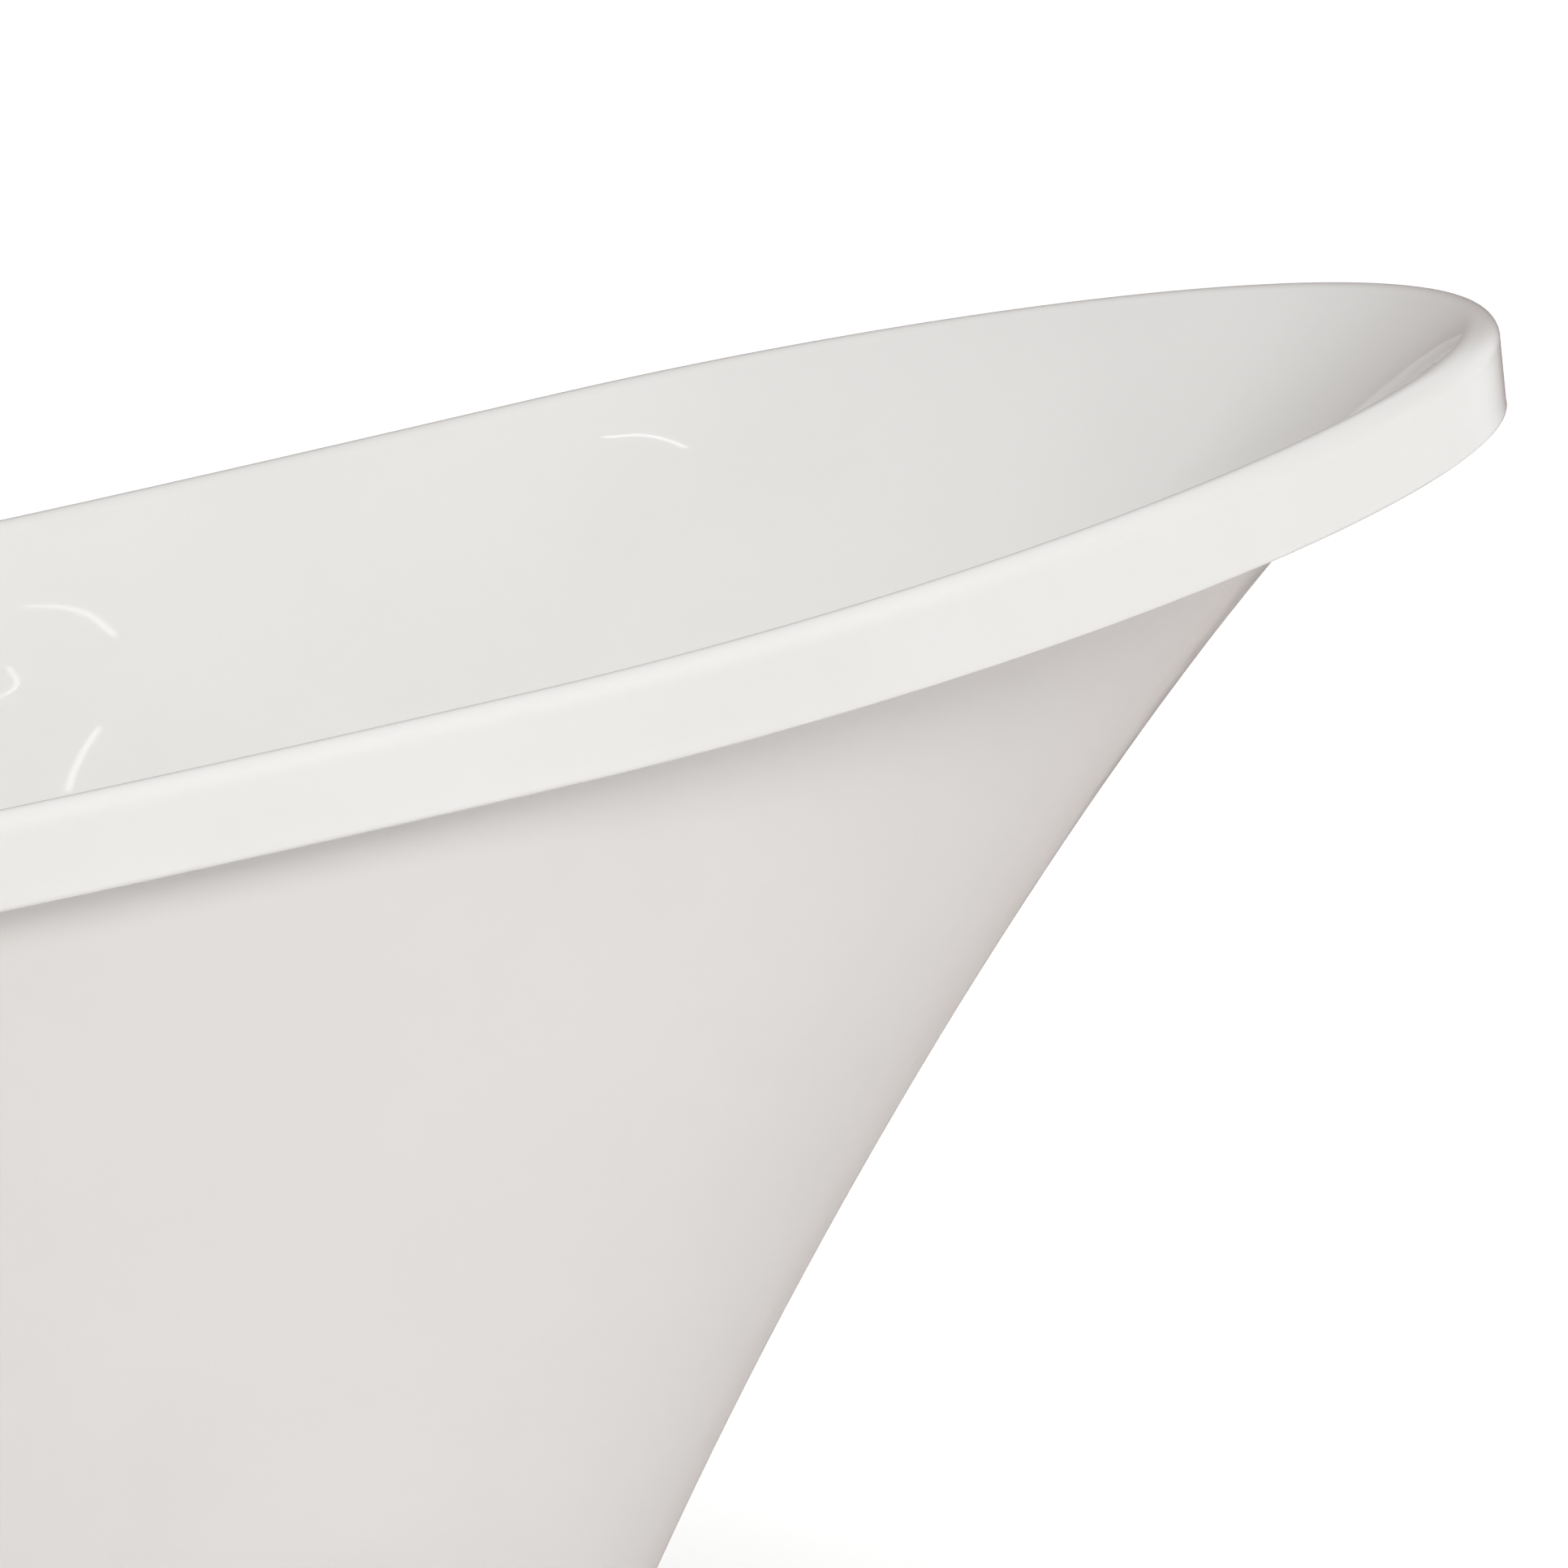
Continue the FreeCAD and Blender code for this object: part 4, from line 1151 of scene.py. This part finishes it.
def white_floor():
    material, tree = bare_material("white_paper_floor")
    formed = add_node(tree, "VectorMath", {0: own_place(tree), 1: glow_form}, operation="MULTIPLY")
    away = add_node(tree, "VectorMath", {0: formed.outputs[0]}, operation="LENGTH")
    reach = add_node(tree, "MapRange", {"Value": away.outputs["Value"], "From Min": glow_near,
                                        "From Max": glow_far})
    glow_level = add_node(tree, "ValToRGB", {"Fac": reach.outputs[0]})
    steps = glow_level.color_ramp.elements
    steps[0].color = grey(glow_near_level)
    steps[1].color = grey(glow_far_level)
    for position, level in glow_levels_between:
        steps.new(position).color = grey(level)
    glow = add_node(tree, "Emission", {"Strength": glow_level.outputs["Color"]})
    shade = add_node(tree, "BsdfDiffuse", {"Color": grey(floor_shade)})
    white = add_node(tree, "AddShader", {0: glow.outputs[0], 1: shade.outputs[0]})
    paper = add_node(tree, "BsdfDiffuse", {"Color": paper_color})
    parts = (seen_directly(tree), paper.outputs[0], white.outputs[0])
    show(tree, add_node(tree, "MixShader", dict(enumerate(parts))))
    return material


deselect()
bpy.ops.mesh.primitive_plane_add(size=floor_size, location=(0.0, 0.0, 0.0))
paper_floor = bpy.context.object
paper_floor.name = "paper_floor"
paper_floor.data.materials.append(white_floor())
print("floor", floor_size)

# %% [markdown]
# The room round the bath is white where the camera or a mirror sees it. The light that it gives
# is weaker and slightly warm, so that the shaded white takes the mauve cast of the photograph.

# %% world
fill_level = 0.2
fill_color = (1.0, 0.94, 0.92, 1.0)
world = bpy.data.worlds.new("studio")
bpy.context.scene.world = world
world.use_nodes = True
direct = seen_directly(world.node_tree)
fill_tint = add_node(world.node_tree, "Mix", {"A": fill_color, "B": WHITE, "Factor": direct},
                     data_type="RGBA")
level = add_node(world.node_tree, "MapRange", {"Value": direct, "To Min": fill_level, "To Max": 1.0})
backdrop = world.node_tree.nodes["Background"].inputs
world.node_tree.links.new(fill_tint.outputs["Result"], backdrop["Color"])
world.node_tree.links.new(level.outputs[0], backdrop["Strength"])
print("fill", fill_level)

# %% [markdown]
# The photograph's light comes from a small lamp in front, which draws the tight shadow under the
# band, from a high one at the left, and from wide soft ones at the right and behind. A weak low
# lamp lights the shaded wall at the right. All are white and stay out of reflections.

# %% lamps


def softbox(name, at, aim, size, power):
    lamp = bpy.data.lights.new(name, "AREA")
    lamp.size = size
    lamp.energy = power
    holder = bpy.data.objects.new(name, lamp)
    bpy.context.collection.objects.link(holder)
    holder.location = at
    holder.rotation_euler = (Vector(aim) - Vector(at)).to_track_quat("-Z", "Y").to_euler()
    holder.visible_glossy = False


light_aim = (0.3, 0.0, 0.5)
front_aim = (0.3, 0.0, 0.6)
back_aim = (0.0, 0.0, 0.4)
right_aim = (0.6, 0.0, 0.5)
wide = 1.8
medium = 1.2
small = 0.9
softbox("front_lamp", (0.4, -3.4, 2.0), front_aim, small, 58.0)
softbox("left_top_lamp", (-2.4, -0.8, 3.0), light_aim, medium, 50.0)
softbox("right_lamp", (3.6, -1.2, 2.4), light_aim, wide, 32.0)
softbox("low_right_lamp", (2.3, 0.2, 0.5), right_aim, small, 4.5)
softbox("top_right_lamp", (2.6, 0.3, 3.2), light_aim, wide, 18.0)
softbox("back_lamp", (-0.4, 3.2, 0.8), back_aim, wide, 42.0)
print("lamps", len(bpy.data.lights))

# %% [markdown]
# A gloss surface seen at a slant mirrors what stands behind it. The bath's slanted edges mirror a
# dim mauve studio, and thin bright lines inside mirror narrow lamps. Here both are painted
# reflections: dim cards and glowing strips that only mirror rays can see, and that light nothing.
# A low dark ring round the front and the sides, open behind, is a painted reflection as well: it
# gives the chrome its dark horizon.

# %% helpers for painted reflection cards


def mirror_only(item):
    item.visible_camera = False
    item.visible_diffuse = False
    item.visible_shadow = False
    item.visible_transmission = False


def card_material(name, color, full_share, halves):
    """A painted reflection: a dim card, seen only in mirrors, that fades to the white of the room from a
    share of its half size to its edges.
    """
    material, tree = bare_material(name)
    split = add_node(tree, "SeparateXYZ", {0: own_place(tree)}).outputs
    shares = [arithmetic(tree, "DIVIDE", arithmetic(tree, "ABSOLUTE", split[axis]), half)
              for axis, half in halves.items()]
    nearest = shares[0] if len(shares) == 1 else arithmetic(tree, "MAXIMUM", *shares)
    fade = add_node(tree, "MapRange", {"Value": nearest, "From Min": full_share},
                    interpolation_type="SMOOTHSTEP")
    tint = add_node(tree, "Mix", {"A": color, "B": WHITE, "Factor": fade.outputs[0]}, data_type="RGBA")
    show(tree, add_node(tree, "Emission", {"Color": tint.outputs["Result"]}))
    return material


def flat_card(name, half_x, half_y, tilt, middle, material):
    deselect()
    bpy.ops.mesh.primitive_plane_add(size=2.0, rotation=(tilt, 0.0, 0.0))
    card = bpy.context.object
    card.name = name
    card.scale = (half_x, half_y, 1.0)
    bpy.ops.object.transform_apply(location=False, rotation=True, scale=True)
    card.location = middle
    card.data.materials.append(material)
    mirror_only(card)
    print(name, "at", middle)


# %% painted reflection cards
# Painted reflection: a dim mauve card behind the bath that only mirror rays see. Its colour stands in for the
# dim studio that the slanted edges mirror.
back_reflection_mauve = (0.27, 0.215, 0.21, 1.0)
back_reflection_full_share = 0.45
back_reflection_half_width = 1.75
back_reflection_half_height = 1.6
back_reflection_middle = (0.35, 1.5, 0.5)
painted_back_reflection = card_material("painted_back_reflection", back_reflection_mauve, back_reflection_full_share,
                         {"X": back_reflection_half_width, "Z": back_reflection_half_height})
flat_card("back_card", back_reflection_half_width, back_reflection_half_height, math.pi / 2, back_reflection_middle, painted_back_reflection)

# Painted reflection: a mauve sheet on the floor at the right that only mirror rays see. It darkens what the
# slanted right side of the wall mirrors.
floor_reflection_mauve = (0.52, 0.455, 0.44, 1.0)
floor_reflection_full_share = 0.6
floor_reflection_half_x = 0.9
floor_reflection_half_y = 1.3
floor_reflection_middle = (1.1, 0.9, 0.004)
painted_floor_reflection = card_material("painted_floor_reflection", floor_reflection_mauve, floor_reflection_full_share, {"X": floor_reflection_half_x, "Y": floor_reflection_half_y})
flat_card("floor_card", floor_reflection_half_x, floor_reflection_half_y, 0.0, floor_reflection_middle, painted_floor_reflection)

# %% painted dark horizon
# Painted reflection: a low dark ring round the bath that only mirror rays see, so that the chrome mirrors a
# dark horizon.
horizon_reflection_color = (0.10, 0.09, 0.09, 1.0)
horizon_full_share = 0.2
horizon_sides = 96
horizon_radius = 1.7
horizon_height = 0.28
horizon_back = 0.9
deselect()
bpy.ops.mesh.primitive_cylinder_add(vertices=horizon_sides, radius=horizon_radius, depth=horizon_height,
                                    end_fill_type="NOTHING", location=(0.0, 0.0, 0.0))
horizon = bpy.context.object
horizon.name = "dim_horizon"
open_mesh()
bpy.ops.mesh.bisect(plane_co=(0.0, horizon_back, 0.0), plane_no=(0.0, 1.0, 0.0), clear_outer=True)
close_mesh()
horizon.location = (0.0, 0.0, horizon_height / 2)
horizon.data.materials.append(card_material("painted_horizon_band", horizon_reflection_color, horizon_full_share,
                                            {"Z": horizon_height / 2}))
mirror_only(horizon)
print(horizon.name, "faces", len(horizon.data.polygons))

# %% painted highlight strips


def glow_material(name, strength):
    material, tree = bare_material(name)
    show(tree, add_node(tree, "Emission", {"Strength": strength}))
    return material


# Each strip is a thin glowing tube that only mirror rays see. It is a painted highlight, one of the bright
# lines inside the bath, and it lights nothing.
highlight_strips = (
    (0.0055, 6.5, ((-0.245, -0.186, 2.025), (-0.321, -0.075, 2.017), (-0.382, -0.040, 1.977))),
    (0.0018, 5.0, ((0.063, 0.030, 0.857), (0.088, 0.019, 0.847), (0.112, -0.006, 0.815))),
    (0.0014, 4.6, ((0.062, -0.014, 0.795), (0.067, -0.027, 0.774), (0.060, -0.030, 0.766))),
    (0.0018, 5.0, ((0.112, -0.052, 0.733), (0.105, -0.062, 0.712), (0.100, -0.074, 0.683))),
)
for number, (thickness, strength, points) in enumerate(highlight_strips):
    knots = [Vector(point) for point in points]
    strip = bent_tube("narrow_lamp_%d" % number, knots, [thickness] * len(knots))
    strip.data.materials.append(glow_material("painted_highlight_glow_%d" % number, strength))
    mirror_only(strip)
print("narrow lamps", len(highlight_strips))

# %% [markdown]
# The photograph looks almost square at the side of the head end, from a little above, through a
# long lens. The camera stands on that line of sight and aims at the middle of the picture.

# %% camera
picture_width = 1932.0
focal_pixels = 10585.7
sensor_width = 36.0
view_distance = 3.725
view_azimuth = -1.507
view_elevation = 12.84
view_limit = 60.0
look_at = Vector((0.5052, -0.300, 0.6342))

azimuth = math.radians(view_azimuth)
elevation = math.radians(view_elevation)
back = Vector((math.sin(azimuth) * math.cos(elevation), -math.cos(azimuth) * math.cos(elevation),
               math.sin(elevation)))
camera = bpy.data.cameras.new("camera")
camera.sensor_width = sensor_width
camera.lens = focal_pixels / picture_width * sensor_width
camera.clip_end = view_limit
camera_holder = bpy.data.objects.new("camera", camera)
bpy.context.collection.objects.link(camera_holder)
camera_holder.location = look_at + back * view_distance
camera_holder.rotation_euler = (-back).to_track_quat("-Z", "Y").to_euler()
bpy.context.scene.camera = camera_holder
print("lens", round(camera.lens, 1))
